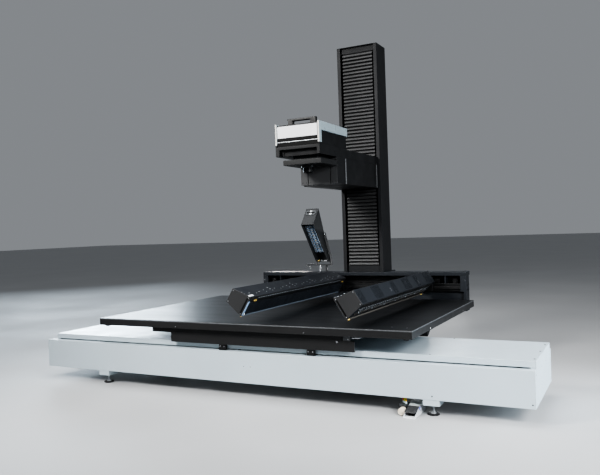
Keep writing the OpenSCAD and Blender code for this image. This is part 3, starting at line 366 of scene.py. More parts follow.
def settle(thing):
    """Turns what an object's modifiers make into its own plain mesh."""
    bpy.context.view_layer.update()
    graph = bpy.context.evaluated_depsgraph_get()
    made = bpy.data.meshes.new_from_object(thing.evaluated_get(graph), depsgraph=graph)
    thing.modifiers.clear()
    thing.data = made
    return thing


def shaded(thing, angle=38):
    """Smooth shading, broken where faces meet more sharply than this angle."""
    thing.data.shade_smooth()
    thing.data.set_sharp_from_angle(angle=math.radians(angle))
    return thing


def even_normals(thing):
    """Keeps the large flat faces flat beside their rounded edges and their holes."""
    shaded(thing, 50)
    thing.modifiers.new("normals", "WEIGHTED_NORMAL").keep_sharp = True
    return settle(thing)


def ease_edges(thing, edge, steps=2, angle=30):
    """Rounds the sharp edges and keeps the flat faces flat."""
    round_off = thing.modifiers.new("edges", "BEVEL")
    round_off.width, round_off.segments = edge, steps
    round_off.limit_method, round_off.angle_limit = "ANGLE", math.radians(angle)
    return even_normals(settle(thing))


def paint(thing, material):
    """One finish for the whole of a mesh."""
    thing.data.materials.clear()
    thing.data.materials.append(material)
    return thing


def two_tone(thing, material, chosen):
    """Gives the faces that pass chosen a finish of their own."""
    thing.data.materials.append(material)
    last = len(thing.data.materials) - 1
    for face in thing.data.polygons:
        if chosen(face):
            face.material_index = last


def finish_piece(thing, body, material=None, stands_for=()):
    """Gives a piece its material, its body and the nodes that it stands for."""
    if material:
        paint(thing, material)
    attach(thing, body)
    if stands_for:
        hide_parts(*stands_for)
    return thing


def clean_copy(node, name):
    """A merged copy of a node's mesh."""
    source = cad[node].data
    bm = bmesh.new()
    corner = [bm.verts.new(v.co) for v in source.vertices]
    for face in source.polygons:
        bm.faces.new([corner[i] for i in face.vertices])
    bmesh.ops.remove_doubles(bm, verts=bm.verts, dist=1e-5)
    bmesh.ops.dissolve_limit(bm, angle_limit=math.radians(0.5), verts=bm.verts, edges=bm.edges)
    return poured(bm, name)


def split_level(thing, z):
    """Cuts the faces of a piece along a level line, so that each side can have its own finish."""
    bm = bmesh.new()
    bm.from_mesh(thing.data)
    bmesh.ops.bisect_plane(bm, geom=bm.verts[:] + bm.edges[:] + bm.faces[:], plane_co=(0, 0, z),
                           plane_no=Z)
    bm.to_mesh(thing.data)
    bm.free()


def carve(thing, cutter):
    """Cuts the cutter's shape out of a piece and throws the cutter away."""
    cut = thing.modifiers.new("cut", "BOOLEAN")
    cut.operation, cut.solver, cut.object = "DIFFERENCE", "EXACT", cutter
    settle(thing)
    bpy.data.objects.remove(cutter)
    return even_normals(thing)


def softened(node, edge, material, steps=2, cutter=None, split=None):
    """A CAD node with eased edges, in its real finish, in the node's place."""
    thing = clean_copy(node, node + "_finished")
    if split:
        split_level(thing, split)
    ease_edges(thing, edge, steps)
    if cutter:
        carve(thing, cutter)
    return finish_piece(thing, body_of[node], material, [node])


def round_angles(count):
    """Angles that go evenly round a full circle."""
    return [2 * math.pi * k / count for k in range(count)]


class Shape:
    """Several closed forms gathered into one mesh."""

    def __init__(self):
        self.bm = bmesh.new()

    def prism(self, outline, run):
        """A flat outline, pushed along run."""
        run = Vector(run)
        low = [self.bm.verts.new(p) for p in outline]
        high = [self.bm.verts.new(Vector(p) + run) for p in outline]
        faces = [self.bm.faces.new(low[::-1]), self.bm.faces.new(high)]
        for i in range(len(low)):
            j = (i + 1) % len(low)
            faces.append(self.bm.faces.new((low[i], low[j], high[j], high[i])))
        bmesh.ops.recalc_face_normals(self.bm, faces=faces)
        return self

    def block(self, low, high):
        """A box between two opposite corners."""
        (a, b, c), (d, e, f) = low, high
        return self.prism([(a, b, c), (d, b, c), (d, e, c), (a, e, c)], (0, 0, f - c))

    def turned(self, foot, axis, profile, sides=32):
        """A form turned about an axis through foot; profile is (radius, height) pairs."""
        axis = Vector(axis).normalized()
        across = axis.orthogonal().normalized()
        other = axis.cross(across)
        ways = [across * math.cos(a) + other * math.sin(a) for a in round_angles(sides)]
        rings, faces = [], []
        for r, h in profile:
            centre = Vector(foot) + axis * h
            on_axis = r < 1e-7
            rings.append([self.bm.verts.new(p) for p in (
                [centre] if on_axis else [centre + way * r for way in ways])])
        for lower, upper in zip(rings, rings[1:]):
            for k in range(sides):
                m = (k + 1) % sides
                corners = [lower[k % len(lower)], lower[m % len(lower)],
                           upper[m % len(upper)], upper[k % len(upper)]]
                corners = list(dict.fromkeys(corners))
                if len(corners) > 2:
                    faces.append(self.bm.faces.new(corners))
        if len(rings[0]) > 1:
            faces.append(self.bm.faces.new(rings[0][::-1]))
        if len(rings[-1]) > 1:
            faces.append(self.bm.faces.new(rings[-1]))
        bmesh.ops.recalc_face_normals(self.bm, faces=faces)
        return self

    def thing(self, name):
        """The object that holds these forms, which are used up."""
        return poured(self.bm, name)


def eased(shape, name, edge, body, material, stands_for=(), angle=30):
    """A shape with rounded edges, as a finished piece."""
    return finish_piece(ease_edges(shape.thing(name), edge, angle=angle), body, material,
                        stands_for)


def lathed(shape, name, body, material, stands_for=(), angle=35):
    """A shape with smooth round sides, as a finished piece."""
    return finish_piece(shaded(shape.thing(name), angle), body, material, stands_for)


def gathered(name, things):
    """Joins several plain meshes, each with its own finish, into one mesh."""
    bm, finishes = bmesh.new(), []
    for thing in things:
        shift = len(finishes)
        finishes += list(thing.data.materials)
        before = len(bm.faces)
        bm.from_mesh(thing.data)
        bm.faces.ensure_lookup_table()
        for face in bm.faces[before:]:
            face.material_index += shift
        bpy.data.objects.remove(thing)
    whole = poured(bm, name)
    for material in finishes:
        whole.data.materials.append(material)
    return whole


# Node trees for what repeats

class Rows:
    """A geometry node tree with named inputs, built step by step."""

    def __init__(self, name, inputs):
        self.tree = bpy.data.node_groups.new(name, "GeometryNodeTree")
        self.tree.is_modifier = True
        face = self.tree.interface
        face.new_socket("Geometry", in_out="OUTPUT", socket_type="NodeSocketGeometry")
        face.new_socket("Geometry", in_out="INPUT", socket_type="NodeSocketGeometry")
        for label, kind, value in inputs:
            socket = face.new_socket(label, in_out="INPUT", socket_type="NodeSocket" + kind)
            if value is not None:
                socket.default_value = value
        self.source = self.tree.nodes.new("NodeGroupInput").outputs
        self.result = self.tree.nodes.new("NodeGroupOutput")

    def step(self, kind, feeds, **settings):
        """Adds a node and links or sets what feeds it; a list feeds one socket several times."""
        node = self.tree.nodes.new(kind)
        for key, value in settings.items():
            setattr(node, key, value)
        for key, value in feeds.items():
            for one in value if isinstance(value, list) else [value]:
                if isinstance(one, bpy.types.NodeSocket):
                    self.tree.links.new(one, node.inputs[key])
                else:
                    node.inputs[key].default_value = one
        return node.outputs

    def product(self, a, b):
        return self.step("ShaderNodeMath", {0: a, 1: b}, operation="MULTIPLY")[0]

    def closed(self, upper, lower, weld):
        """Joins a raised surface to the turned-over face that it was raised from."""
        under = self.step("GeometryNodeFlipFaces", {"Mesh": lower})[0]
        both = self.step("GeometryNodeJoinGeometry", {"Geometry": [upper, under]})[0]
        return self.step("GeometryNodeMergeByDistance", {"Geometry": both, "Distance": weld})[0]

    def attribute(self, name, kind):
        return self.step("GeometryNodeInputNamedAttribute", {"Name": name},
                         data_type=kind)["Attribute"]

    def grid(self):
        """Points from Start, Count of them Step apart, in Lanes that are Lane step apart."""
        line = self.step("GeometryNodeMeshLine", {
            "Count": self.source["Count"], "Start Location": self.source["Start"],
            "Offset": self.source["Step"]})[0]
        lanes = self.step("GeometryNodeMeshLine", {
            "Count": self.source["Lanes"], "Offset": self.source["Lane step"]})[0]
        spread = self.step("GeometryNodeInstanceOnPoints", {"Points": lanes, "Instance": line})[0]
        return self.step("GeometryNodeRealizeInstances", {"Geometry": spread})[0]

    def close(self, points, instance, **turns):
        """The last steps of every tree: one thing on each point, as real meshes, in one finish."""
        placed = self.step("GeometryNodeInstanceOnPoints", {
            "Points": points, "Instance": instance, **turns})[0]
        real = self.step("GeometryNodeRealizeInstances", {"Geometry": placed})[0]
        done = self.step("GeometryNodeSetMaterial", {"Geometry": real,
                                                     "Material": self.source["Finish"]})[0]
        self.tree.links.new(done, self.result.inputs[0])
        return self

    def run(self, name, values, base=None):
        """Runs the tree with these values and keeps its result as a plain mesh."""
        thing = hang(name, base or bpy.data.meshes.new(name))
        rows = thing.modifiers.new("rows", "NODES")
        rows.node_group = self.tree
        for item in self.tree.interface.items_tree:
            if item.in_out == "INPUT" and item.name in values:
                value = values[item.name]
                rows[item.identifier] = tuple(value) if isinstance(value, Vector) else value
        return settle(thing)


GRID_INPUTS = [("Start", "Vector", (0, 0, 0)), ("Step", "Vector", (0, 0, 0)), ("Count", "Int", 1),
               ("Lane step", "Vector", (0, 0, 0)), ("Lanes", "Int", 1), ("Finish", "Material", None)]


def tile_tree():
    """Rows of rounded tiles: slots, ribs, clips and chips."""
    t = Rows("rounded tiles", [("Width", "Float", 0.01), ("Length", "Float", 0.02),
                               ("Corner", "Float", 0.001), ("Height", "Float", 0.003),
                               ("Turn", "Vector", (0, 0, 0))] + GRID_INPUTS)
    edge = t.step("GeometryNodeCurvePrimitiveQuadrilateral", {
        "Width": t.source["Width"], "Height": t.source["Length"]})[0]
    rounded = t.step("GeometryNodeFilletCurve", {"Curve": edge, "Radius": t.source["Corner"],
                                                 "Count": 3, "Limit Radius": True}, mode="POLY")[0]
    face = t.step("GeometryNodeFillCurve", {"Curve": rounded}, mode="NGONS")[0]
    risen = t.step("GeometryNodeExtrudeMesh", {"Mesh": face, "Individual": False,
                                               "Offset Scale": t.source["Height"]})["Mesh"]
    turn = t.step("FunctionNodeEulerToRotation", {"Euler": t.source["Turn"]})[0]
    return t.close(t.grid(), t.closed(risen, face, 1e-6), Rotation=turn)


def head_tree():
    """Fastener heads, one at each point, facing the way and of the size that the point says."""
    wall_share = 0.65
    t = Rows("fastener heads", [("Sides", "Int", 14), ("Head height", "Float", 0.6),
                                ("Crown", "Float", 0.82), ("Socket", "Float", 0.5),
                                ("Socket depth", "Float", 0.4), ("Finish", "Material", None)])

    def raised(mesh, top, by):
        chosen = {"Selection": top} if top else {}
        return t.step("GeometryNodeExtrudeMesh", {"Mesh": mesh, **chosen, "Offset Scale": by})

    def narrowed(geometry, top, by):
        return t.step("GeometryNodeScaleElements", {"Geometry": geometry, "Selection": top,
                                                    "Scale": by})[0]

    disc = t.step("GeometryNodeMeshCircle", {"Vertices": t.source["Sides"], "Radius": 1.0},
                  fill_type="NGON")[0]
    height = t.source["Head height"]
    wall = raised(disc, None, t.product(height, wall_share))
    dome = raised(wall["Mesh"], wall["Top"], t.product(height, 1 - wall_share))
    rim = raised(narrowed(dome["Mesh"], dome["Top"], t.source["Crown"]), dome["Top"], 0.0)
    inner = narrowed(rim["Mesh"], rim["Top"], t.source["Socket"])
    bottom = raised(inner, rim["Top"], t.product(t.source["Socket depth"], -1.0))
    turn = t.step("FunctionNodeAlignRotationToVector", {
        "Vector": t.attribute("facing", "FLOAT_VECTOR")}, axis="Z")[0]
    return t.close(t.source["Geometry"], t.closed(bottom["Mesh"], disc, 1e-4), Rotation=turn,
                   Scale=t.attribute("size", "FLOAT"))


def copy_tree():
    """Rows of copies of the shape that the object holds."""
    t = Rows("rows of copies", GRID_INPUTS)
    return t.close(t.grid(), t.source["Geometry"])


TILES, HEADS, COPIES = tile_tree(), head_tree(), copy_tree()


def row(start, step=(0, 0, 0), count=1, lane_step=(0, 0, 0), lanes=1):
    """Where a node tree puts its copies: a row, or several lanes of it."""
    return {"Start": Vector(start), "Step": Vector(step), "Count": count,
            "Lane step": Vector(lane_step), "Lanes": lanes}


def turn_to(along, out):
    """Euler angles that lay a tile's width along one direction and its height along another."""
    along, out = Vector(along).normalized(), Vector(out).normalized()
    return tuple(Matrix((along, out.cross(along), out)).transposed().to_euler())


def tiles(name, material, width, length, corner, height, where, along, out):
    """Rounded tiles: width lies along one direction, and height stands out along another."""
    return TILES.run(name, {
        "Width": float(width), "Length": float(length), "Corner": float(corner),
        "Height": float(height), "Turn": turn_to(along, out), "Finish": material, **where})


def copies(shape, name, material, *rows):
    """Copies of a shape in one or more sets of rows."""
    source = shape.thing(name + "_one")
    runs = [COPIES.run(name, {**where, "Finish": material}, source.data.copy()) for where in rows]
    bpy.data.objects.remove(source)
    return gathered(name, runs) if len(runs) > 1 else runs[0]


# Fasteners: a spot is a place, the way that the head faces and its radius

def each(values):
    """Several places as they are, or a single one as a group of its own."""
    return values if isinstance(values, (tuple, list)) else (values,)


def spots_at(xs, ys, zs, way, radius):
    """Spots at every crossing of these places, all facing one way."""
    return [(Vector((x, y, z)), way, radius)
            for x in each(xs) for y in each(ys) for z in each(zs)]


def both_sides(node, ys, zs, radius):
    """Spots on the left and the right side of a node."""
    low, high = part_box(node)
    return spots_at(low.x, ys, zs, -X, radius) + spots_at(high.x, ys, zs, X, radius)


def inset(low, high, by):
    """The two places that lie this far inside both ends."""
    return low + by, high - by


def heads(name, material, spots, sides=14, height=0.6, crown=0.82, socket=0.5, dip=0.4):
    """Fastener heads; height and dip are shares of a head's radius."""
    base = bpy.data.meshes.new(name)
    base.from_pydata([tuple(place) for place, _, _ in spots], [], [])
    base.attributes.new("facing", "FLOAT_VECTOR", "POINT")
    base.attributes.new("size", "FLOAT", "POINT")
    base.attributes["facing"].data.foreach_set("vector", [c for _, way, _ in spots for c in way])
    base.attributes["size"].data.foreach_set("value", [radius for _, _, radius in spots])
    thing = HEADS.run(name, {"Sides": sides, "Head height": height, "Crown": crown,
                             "Socket": socket, "Socket depth": dip, "Finish": material}, base)
    return shaded(thing, 32)


def fasten(name, body, slot, material, spots, **form):
    """Fastener heads as a finished piece."""
    return finish_piece(heads(name, material, spots, **form), body)


def sunk_screws(node, edge, coat, name, material, spots):
    """A node with counterbores, and screws whose heads lie level with its face."""
    depth, room = 0.6, 1.12
    holes = [(place - way * depth * r, way, r * room) for place, way, r in spots]
    bores = heads("cutter", PAINTED_SHADE_BLACK, holes, height=0.8, crown=0.98, dip=0.1)
    softened(node, edge, coat, cutter=bores)
    seated = [(place - way * depth * r, way, r) for place, way, r in spots]
    fasten(name, body_of[node], slot_of[node], material, seated, height=0.54, crown=0.9)


# Nodes that keep their shape: eased edges and a finish, or inside and only a finish

EASED_NODES = {
    "base_side_panels": (0.0025, WHITE_COAT), "top_cover": (0.0025, COVER_COAT),
    "foot_brackets": (0.002, WHITE_COAT), "rear_base": (0.003, BLACK_SHEET),
    "column_plinth": (0.003, BLACK_SHEET), "bridge_top": (0.003, BRIDGE_COAT),
    "bridge_beam": (0.0025, BLACK_SHEET), "bridge_ends": (0.002, BRIDGE_COAT),
    "light_rail": (0.001, BLACK_PROFILE), "column_sides": (0.002, COLUMN_GREY),
    "column_back": (0.0012, COLUMN_GREY), "table_board": (0.0008, TABLE_FACE),
    "table_edges": (0.0012, BLACK_PROFILE), "subframe": (0.002, BLACK_SHEET),
    "aprons": (0.0012, BLACK_PROFILE), "slot_brackets": (0.0015, BLACK_SHEET),
    "table_braces": (0.0015, BLACK_SHEET), "lift_carriage": (0.0015, ARM_GREY),
    "upper_arm": (0.0025, ARM_GREY), "head_core": (0.002, ARM_GREY),
    "lens_plate": (0.0022, LENS_PLATE_GREY), "left_light_ends": (0.0014, BAR_END),
    "right_light_ends": (0.0014, BAR_END), "left_light_slider": (0.002, BLACK_SHEET),
    "right_light_slider": (0.002, BLACK_SHEET), "lamp_housing": (0.0018, LAMP_GREY),
    "lamp_led_panel": (0.0008, LED_BOARD), "pedal_base": (0.0012, PEDAL_WHITE),
    "pedal_treadle": (0.0016, PEDAL_GREY)}

INNER_NODES = {
    "base_floor": STEEL_PRIMER, "cover_posts": STEEL_PRIMER, "rail_beams": STEEL_PRIMER,
    "guide_rails": RAIL_STEEL, "drive_belt": BELT_RUBBER, "drive_motor": MOTOR_BLACK,
    "pulley_brackets": STEEL_PRIMER, "drive_pulley": ALUMINIUM, "idler_pulley": ALUMINIUM,
    "lift_screw": RAIL_STEEL, "lift_rails": RAIL_STEEL, "lift_drive": MOTOR_BLACK,
    "bearing_blocks": STEEL_PRIMER}


def kept_shapes():
    """Eases and paints the nodes that keep their shape, and paints those inside."""
    for node, (edge, coat) in EASED_NODES.items():
        softened(node, edge, coat)
    for node, coat in INNER_NODES.items():
        paint(cad[node], coat)


# Base

def end_plates():
    """End plates of the long base, with screws at their corners and along the top."""
    screws = both_sides("base_end_plates", (-0.96, -0.286), (0.13, 0.3), 0.005)
    screws += both_sides("base_end_plates", (-0.72, -0.53), 0.303, 0.004)
    sunk_screws("base_end_plates", 0.002, WHITE_COAT, "end_plate_screws", DARK_SCREW, screws)


def slot_stops():
    """Stops that close both ends of the slots under the cover."""
    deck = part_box("base_side_panels")[1].z
    low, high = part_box("top_cover")
    thick, tall, length = 0.006, 0.008, 0.03
    stops = Shape()
    for y in (low.y, high.y - thick):
        for x in (low.x, high.x - length):
            stops.block((x, y, deck), (x + length, y + thick, deck + tall))
    eased(stops, "slot_stops", 0.0006, "base", COVER_COAT)


def base_screws():
    """Flat screws in the side panels and on the cover."""
    low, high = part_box("base_side_panels")
    cover_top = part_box("top_cover")[1].z
    panel_x, panel_z, panel_radius = (1.378, 1.981), 0.13, 0.0045
    screws = spots_at(panel_x, low.y, panel_z, -Y, panel_radius)
    screws += spots_at(panel_x, high.y, panel_z, Y, panel_radius)
    screws += spots_at((-0.012, 0.044), low.y, 0.228, -Y, 0.003)
    screws += spots_at(1.983, (-0.888, -0.634, -0.392), cover_top, Z, 0.0062)
    screws += spots_at((-1.354, 1.354), (-0.936, -0.310), cover_top, Z, 0.005)
    fasten("base_screws", "base", "white_sheet", DARK_SCREW, screws, height=0.25, crown=0.86,
           dip=0.2)


def levelling_feet():
    """Each foot: a rubber pad, a swivel cup with a threaded stem, and a lock nut."""
    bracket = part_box("foot_brackets")[0].z
    stem, root, pitch, nut_height = 0.008, 0.0069, 0.0025, 0.0104
    floor_centre = (0, 0, 0)
    pad = Shape().turned(floor_centre, Z, [
        (0.0, 0.0), (0.036, 0.0), (0.039, 0.002), (0.039, 0.0085), (0.0365, 0.0105),
        (0.022, 0.0115), (0.0, 0.0115)], 36)
    thread = [(0.0, 0.0105), (0.0195, 0.0105), (0.0185, 0.014), (0.0128, 0.0165),
              (0.0122, 0.021), (stem, 0.0222)]
    z = 0.0225
    while z < bracket - 0.014:
        thread += [(stem, z), (root, z + pitch / 2), (stem, z + pitch)]
        z += pitch
    thread += [(stem, bracket + 0.006), (0.0, bracket + 0.006)]
    cup = Shape().turned(floor_centre, Z, thread, 20)
    nut = Shape().turned((0, 0, bracket - 0.0105), Z, [
        (0.0, 0.0), (0.0118, 0.0), (0.0134, 0.0012), (0.0134, 0.0093), (0.0118, nut_height),
        (0.0, nut_height)], 6)
    base_rows = row((-1.37, -0.947, 0), (2.74, 0, 0), 2, (0, 0.648, 0), 2)
    rear_row = row((0.035, 1.017, 0), (0.4, 0, 0), 2)
    pads = shaded(copies(pad, "foot_pads", FOOT_RUBBER, base_rows, rear_row))
    finish_piece(pads, "base", stands_for=["levelling_feet"])
    stems = shaded(copies(cup, "foot_stems", ZINC, base_rows, rear_row), 50)
    finish_piece(stems, "base")
    nuts = copies(nut, "foot_lock_nuts", ZINC, base_rows, rear_row)
    finish_piece(nuts, "base")


def mains_inlet():
    """Mains inlet on the back of the rear base: screws in its rim and three pins in its socket."""
    low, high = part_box("power_inlet")
    middle = (low + high) / 2
    screws = spots_at(inset(low.x, high.x, 0.006), high.y, middle.z, Y, 0.0028)
    sunk_screws("power_inlet", 0.0012, INLET_BLACK, "inlet_screws", BRIGHT_SCREW, screws)
    gap, rise = 0.009, 0.003
    first = (middle.x - gap, high.y - 0.0105, middle.z - rise)
    pins = tiles("inlet_pins", CONTACT, 0.002, 0.004, 0.0006, 0.007, row(first, (gap, 0, rise), 3),
                 along=X, out=Y)
    finish_piece(pins, "base")


def rear_base_bolts():
    """Bolts on the top of the rear base and on the back of the plinth."""
    low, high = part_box("rear_base")
    bolts = spots_at(inset(low.x, high.x, 0.03), (-0.15, 0.15, 0.45, 0.75, 1.05), high.z, Z, 0.007)
    low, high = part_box("column_plinth")
    bolts += spots_at(inset(low.x, high.x, 0.025), high.y, (0.34, 0.52, 0.71), Y, 0.006)
    fasten("rear_base_bolts", "base", "black_sheet", DARK_SCREW, bolts, sides=18, height=0.7)


# Bridge and column

def bridge_bolts():
    """Bolts on the bridge's top and ends, and bright screws in its end bays and end plates."""
    low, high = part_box("bridge_top")
    end_low, end_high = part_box("bridge_ends")
    lines = (low.y + 0.03, low.y + 0.11)
    bolts = spots_at(inset(low.x, high.x, 0.03), lines, high.z, Z, 0.0065)
    bolts += spots_at((-0.48, 0.83), lines, high.z, Z, 0.0055)
    bolts += both_sides("bridge_ends", (end_low.y + 0.04, end_low.y + 0.09), (0.625, 0.667), 0.006)
    fasten("bridge_bolts", "base", "black_sheet", DARK_SCREW, bolts, sides=18)
    left, right = inset(end_low.x, end_high.x, 0.024)
    screws = spots_at(right, end_low.y + 0.1, 0.56, -X, 0.006)
    screws += spots_at(left, end_low.y + 0.1, 0.56, X, 0.006)
    screws += spots_at(inset(end_low.x, end_high.x, 0.012), end_low.y, (0.475, 0.71), -Y, 0.005)
    fasten("bridge_end_screws", "base", "black_sheet", BRIGHT_SCREW, screws, height=0.5)


def bay_sockets():
    """Back sheet and sockets of the bays between the bridge's top and its beam."""
    low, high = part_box("bridge_beam")
    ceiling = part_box("bridge_top")[0].z
    sheet, front, half_width, tall = 0.006, 0.8, 0.024, 0.044
    bays = Shape().block((low.x, high.y - sheet, high.z), (high.x, high.y, ceiling))
    for x in (-0.76, -0.56, -0.4, 0.8, 0.93, 1.095):
        bays.block((x - half_width, front, high.z),
                   (x + half_width, high.y - sheet, high.z + tall))
        bays.turned((x, front, high.z + tall / 2), -Y, [
            (0.0, 0.0), (0.0135, 0.0), (0.0135, 0.007), (0.0105, 0.008), (0.0105, 0.003),
            (0.0, 0.003)], 18)
    eased(bays, "bay_sockets", 0.0012, "base", INLET_BLACK)


def column_cap():
    """Cap of the column, with a sunk screw at each corner of its top."""
    low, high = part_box("column_cap")
    screws = spots_at(inset(low.x, high.x, 0.03), inset(low.y, high.y, 0.03), high.z, Z, 0.0045)
    sunk_screws("column_cap", 0.002, COLUMN_GREY, "cap_screws", DARK_SCREW, screws)


def slat_curtain():
    """Roller curtain: one slat, repeated up the column in front of a near-black backing that is painted shade in
    the gaps between the slats.
    """
    low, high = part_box("slat_curtain")
    count, backing_thick = 61, 0.0045
    outline = [(0.0165, 0.0), (0.0165, 0.0213), (0.0095, 0.0213), (0.0062, 0.0198),
               (0.0042, 0.0165), (0.0006, 0.0065), (0.0, 0.003), (0.0005, 0.0012)]
    slat = Shape().prism([(low.x, low.y + y, low.z + z) for y, z in outline],
                         (high.x - low.x, 0, 0))
    rise = (high.z - low.z) / count
    slats = copies(slat, "curtain_slats", SLAT_GREY, row((0, 0, 0), (0, 0, rise), count))
    # The backing is painted shade, seen through the gaps between the slats.
    backing = Shape().block((low.x, high.y - backing_thick, low.z), high)
    eased(backing, "curtain_backing", 0.001, "base", PAINTED_SHADE_BLACK)
    finish_piece(shaded(slats, 28), "base", stands_for=["slat_curtain"])


def column_screws():
    """Screws at the ends of the column's lips and down both sides of its back."""
    low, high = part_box("column_sides")
    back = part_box("column_back")[1].y
    screws = spots_at(inset(low.x, high.x, 0.017), low.y, (0.818, 2.885), -Y, 0.0035)
    back_z = [0.84 + 0.29 * k for k in range(8)]
    screws += spots_at(inset(low.x, high.x, 0.018), back, back_z, Y, 0.0045)
    fasten("column_screws", "base", "column_grey", DARK_SCREW, screws, height=0.4)


def column_louvres():
    """Two sets of ventilation louvres in the column's back."""
    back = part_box("column_back")[1].y
    left, width = 0.155, 0.16
    lowest, pitch, count, upper_set = 0.98, 0.022, 12, 1.5
    outline = [(0.0, 0.0), (0.0045, 0.004), (0.0045, 0.0052), (0.0, 0.012)]
    louvre = Shape().prism([(left, back + y, z) for y, z in outline], (width, 0, 0))
    vents = copies(louvre, "column_louvres", COLUMN_GREY,
                   row((0, 0, lowest), (0, 0, pitch), count, (0, 0, upper_set), 2))
    finish_piece(vents, "base")


# Table

def table_edge_line():
    """Grey seam round the upper part of the table's edge profile."""
    low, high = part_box("table_edges")
    proud = 0.0006
    seam = ((0.0, -0.0085), (proud, -0.0078), (proud, -0.0022), (0.0, -0.0014))
    line = Shape()
    for corner, side in ((low, -1), (high, 1)):
        line.prism([(low.x, corner.y + side * out, high.z + z) for out, z in seam],
                   (high.x - low.x, 0, 0))
        line.prism([(corner.x + side * out, low.y, high.z + z) for out, z in seam],
                   (0, high.y - low.y, 0))
    finish_piece(line.thing("table_edge_line"), "table", FLANGE_GREY)


def table_screws():
    """Screws in the table's edges, in the aprons and in the slot brackets."""
    low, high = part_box("table_edges")
    apron_low, apron_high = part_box("aprons")
    bracket_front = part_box("slot_brackets")[0].y
    middle, edge_z, edge_radius, apron_radius = (low.x + high.x) / 2, 0.503, 0.0042, 0.0075
    edge_x = (middle - 0.545, middle + 0.545)
    screws = spots_at(edge_x, low.y, edge_z, -Y, edge_radius)
    screws += spots_at(edge_x, high.y, edge_z, Y, edge_radius)
    screws += both_sides("table_edges", (low.y + 0.4, low.y + 1.35), edge_z, edge_radius)
    screws += spots_at(0.735, apron_low.y, 0.441, -Y, apron_radius)
    screws += spots_at((-1.0, -0.4, 0.3, 0.95), apron_high.y, 0.43, Y, apron_radius)
    screws += spots_at((-0.627, 0.845), apron_low.y + 0.005, apron_low.z, -Z, 0.0046)
    for x in (-0.203, 0.527):
        screws += spots_at((x - 0.018, x + 0.018), bracket_front, 0.362, -Y, 0.005)
    fasten("table_screws", "table", "rail_steel", BRIGHT_SCREW, screws, height=0.8)


def table_marks():
    """Two stop pins near the front corner, and a row of sighting dots across the table."""
    low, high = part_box("table_edges")
    pins = []
    for x, y in ((1.101, -0.924), (1.209, -0.94)):
        pins += spots_at(x, y, high.z - 0.0004, Z, 0.0065)
    fasten("table_pins", "table", "rail_steel", ALUMINIUM, pins, sides=20, height=0.14,
           socket=0.45, dip=0.08)
    dot_x = [low.x + 0.06 + 0.02 * k for k in range(125)]
    dots = spots_at(dot_x, -0.142, high.z - 0.0002, Z, 0.0018)
    fasten("table_sighting_dots", "table", "table_black", BLACK_PROFILE, dots, sides=8, height=0.2,
           socket=0.4, dip=0.1)


def table_buffers():
    """Rubber buffers under the table's corners."""
    low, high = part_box("table_edges")
    buffers = spots_at(inset(low.x, high.x, 0.05), inset(low.y, high.y, 0.04), low.z, -Z, 0.02)
    fasten("table_buffers", "table", "foot_black", FOOT_RUBBER, buffers, sides=24, crown=0.85,
           socket=0.3)


def rail_end():
    """Grey angle and bright keeper plate at the right end of the front rail."""
    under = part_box("table_edges")[0].z
    face, back, thick = -0.9985, -0.955, 0.005
    left, knee, right = 0.757, 0.779, 0.832
    foot, shoulder, top = 0.4515, 0.476, 0.4895
    angle = Shape().prism([(left, face, foot), (right, face, foot), (right, face, top),
                           (knee, face, top), (left, face, shoulder)], (0, thick, 0))
    angle.block((knee, face + thick, under - thick), (right, back, under))
    eased(angle, "rail_end_angle", 0.0008, "table", FLANGE_GREY)
    plate_foot, plate_top = 0.471, 0.477
    keeper = Shape().block((0.848, -1.012, plate_foot), (0.905, back, plate_top))
    keeper.block((0.862, -0.995, plate_top), (0.891, -0.97, under))
    eased(keeper, "rail_keeper_plate", 0.0009, "table", CHROME)
    fasten("rail_end_screws", "table", "rail_steel", BRIGHT_SCREW,
           spots_at((0.775, 0.815), face, 0.463, -Y, 0.0042), height=0.5)


# Arm and camera head

def is_side(face):
    """True for a face that looks to the left or to the right."""
    return abs(face.normal.x) > 0.5


def arm():
    """Arm box with pale flanges along both ends, and its front box, whose faces other than its sides are painted
    lighter than the arm's grey: painted light against the shade under the lens plate.
    """
    low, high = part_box("arm_box")
    flange = 0.0225
    box = softened("arm_box", 0.0022, ARM_GREY)
    two_tone(box, ARM_FLANGE, lambda face: is_side(face) and min(
        face.center.y - low.y, high.y - face.center.y) < flange)
    # Painted light: the front box's faces other than its sides take the lighter coat.
    front_box = softened("arm_front_box", 0.0016, FRONT_LIGHTENED_GREY)
    two_tone(front_box, ARM_GREY, is_side)


def head_frames_and_handle():
    """Silver side frames with pale front edges and dark feet, and the handle."""
    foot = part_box("head_side_frames")[0].z + 0.015
    frames = softened("head_side_frames", 0.0022, SILVER_COAT, split=foot)
    two_tone(frames, FRAME_EDGE, lambda face: face.normal.y < -0.5)
    two_tone(frames, ARM_GREY, lambda face: face.center.z < foot)
    softened("head_handle", 0.0055, HANDLE_BLACK, 3)


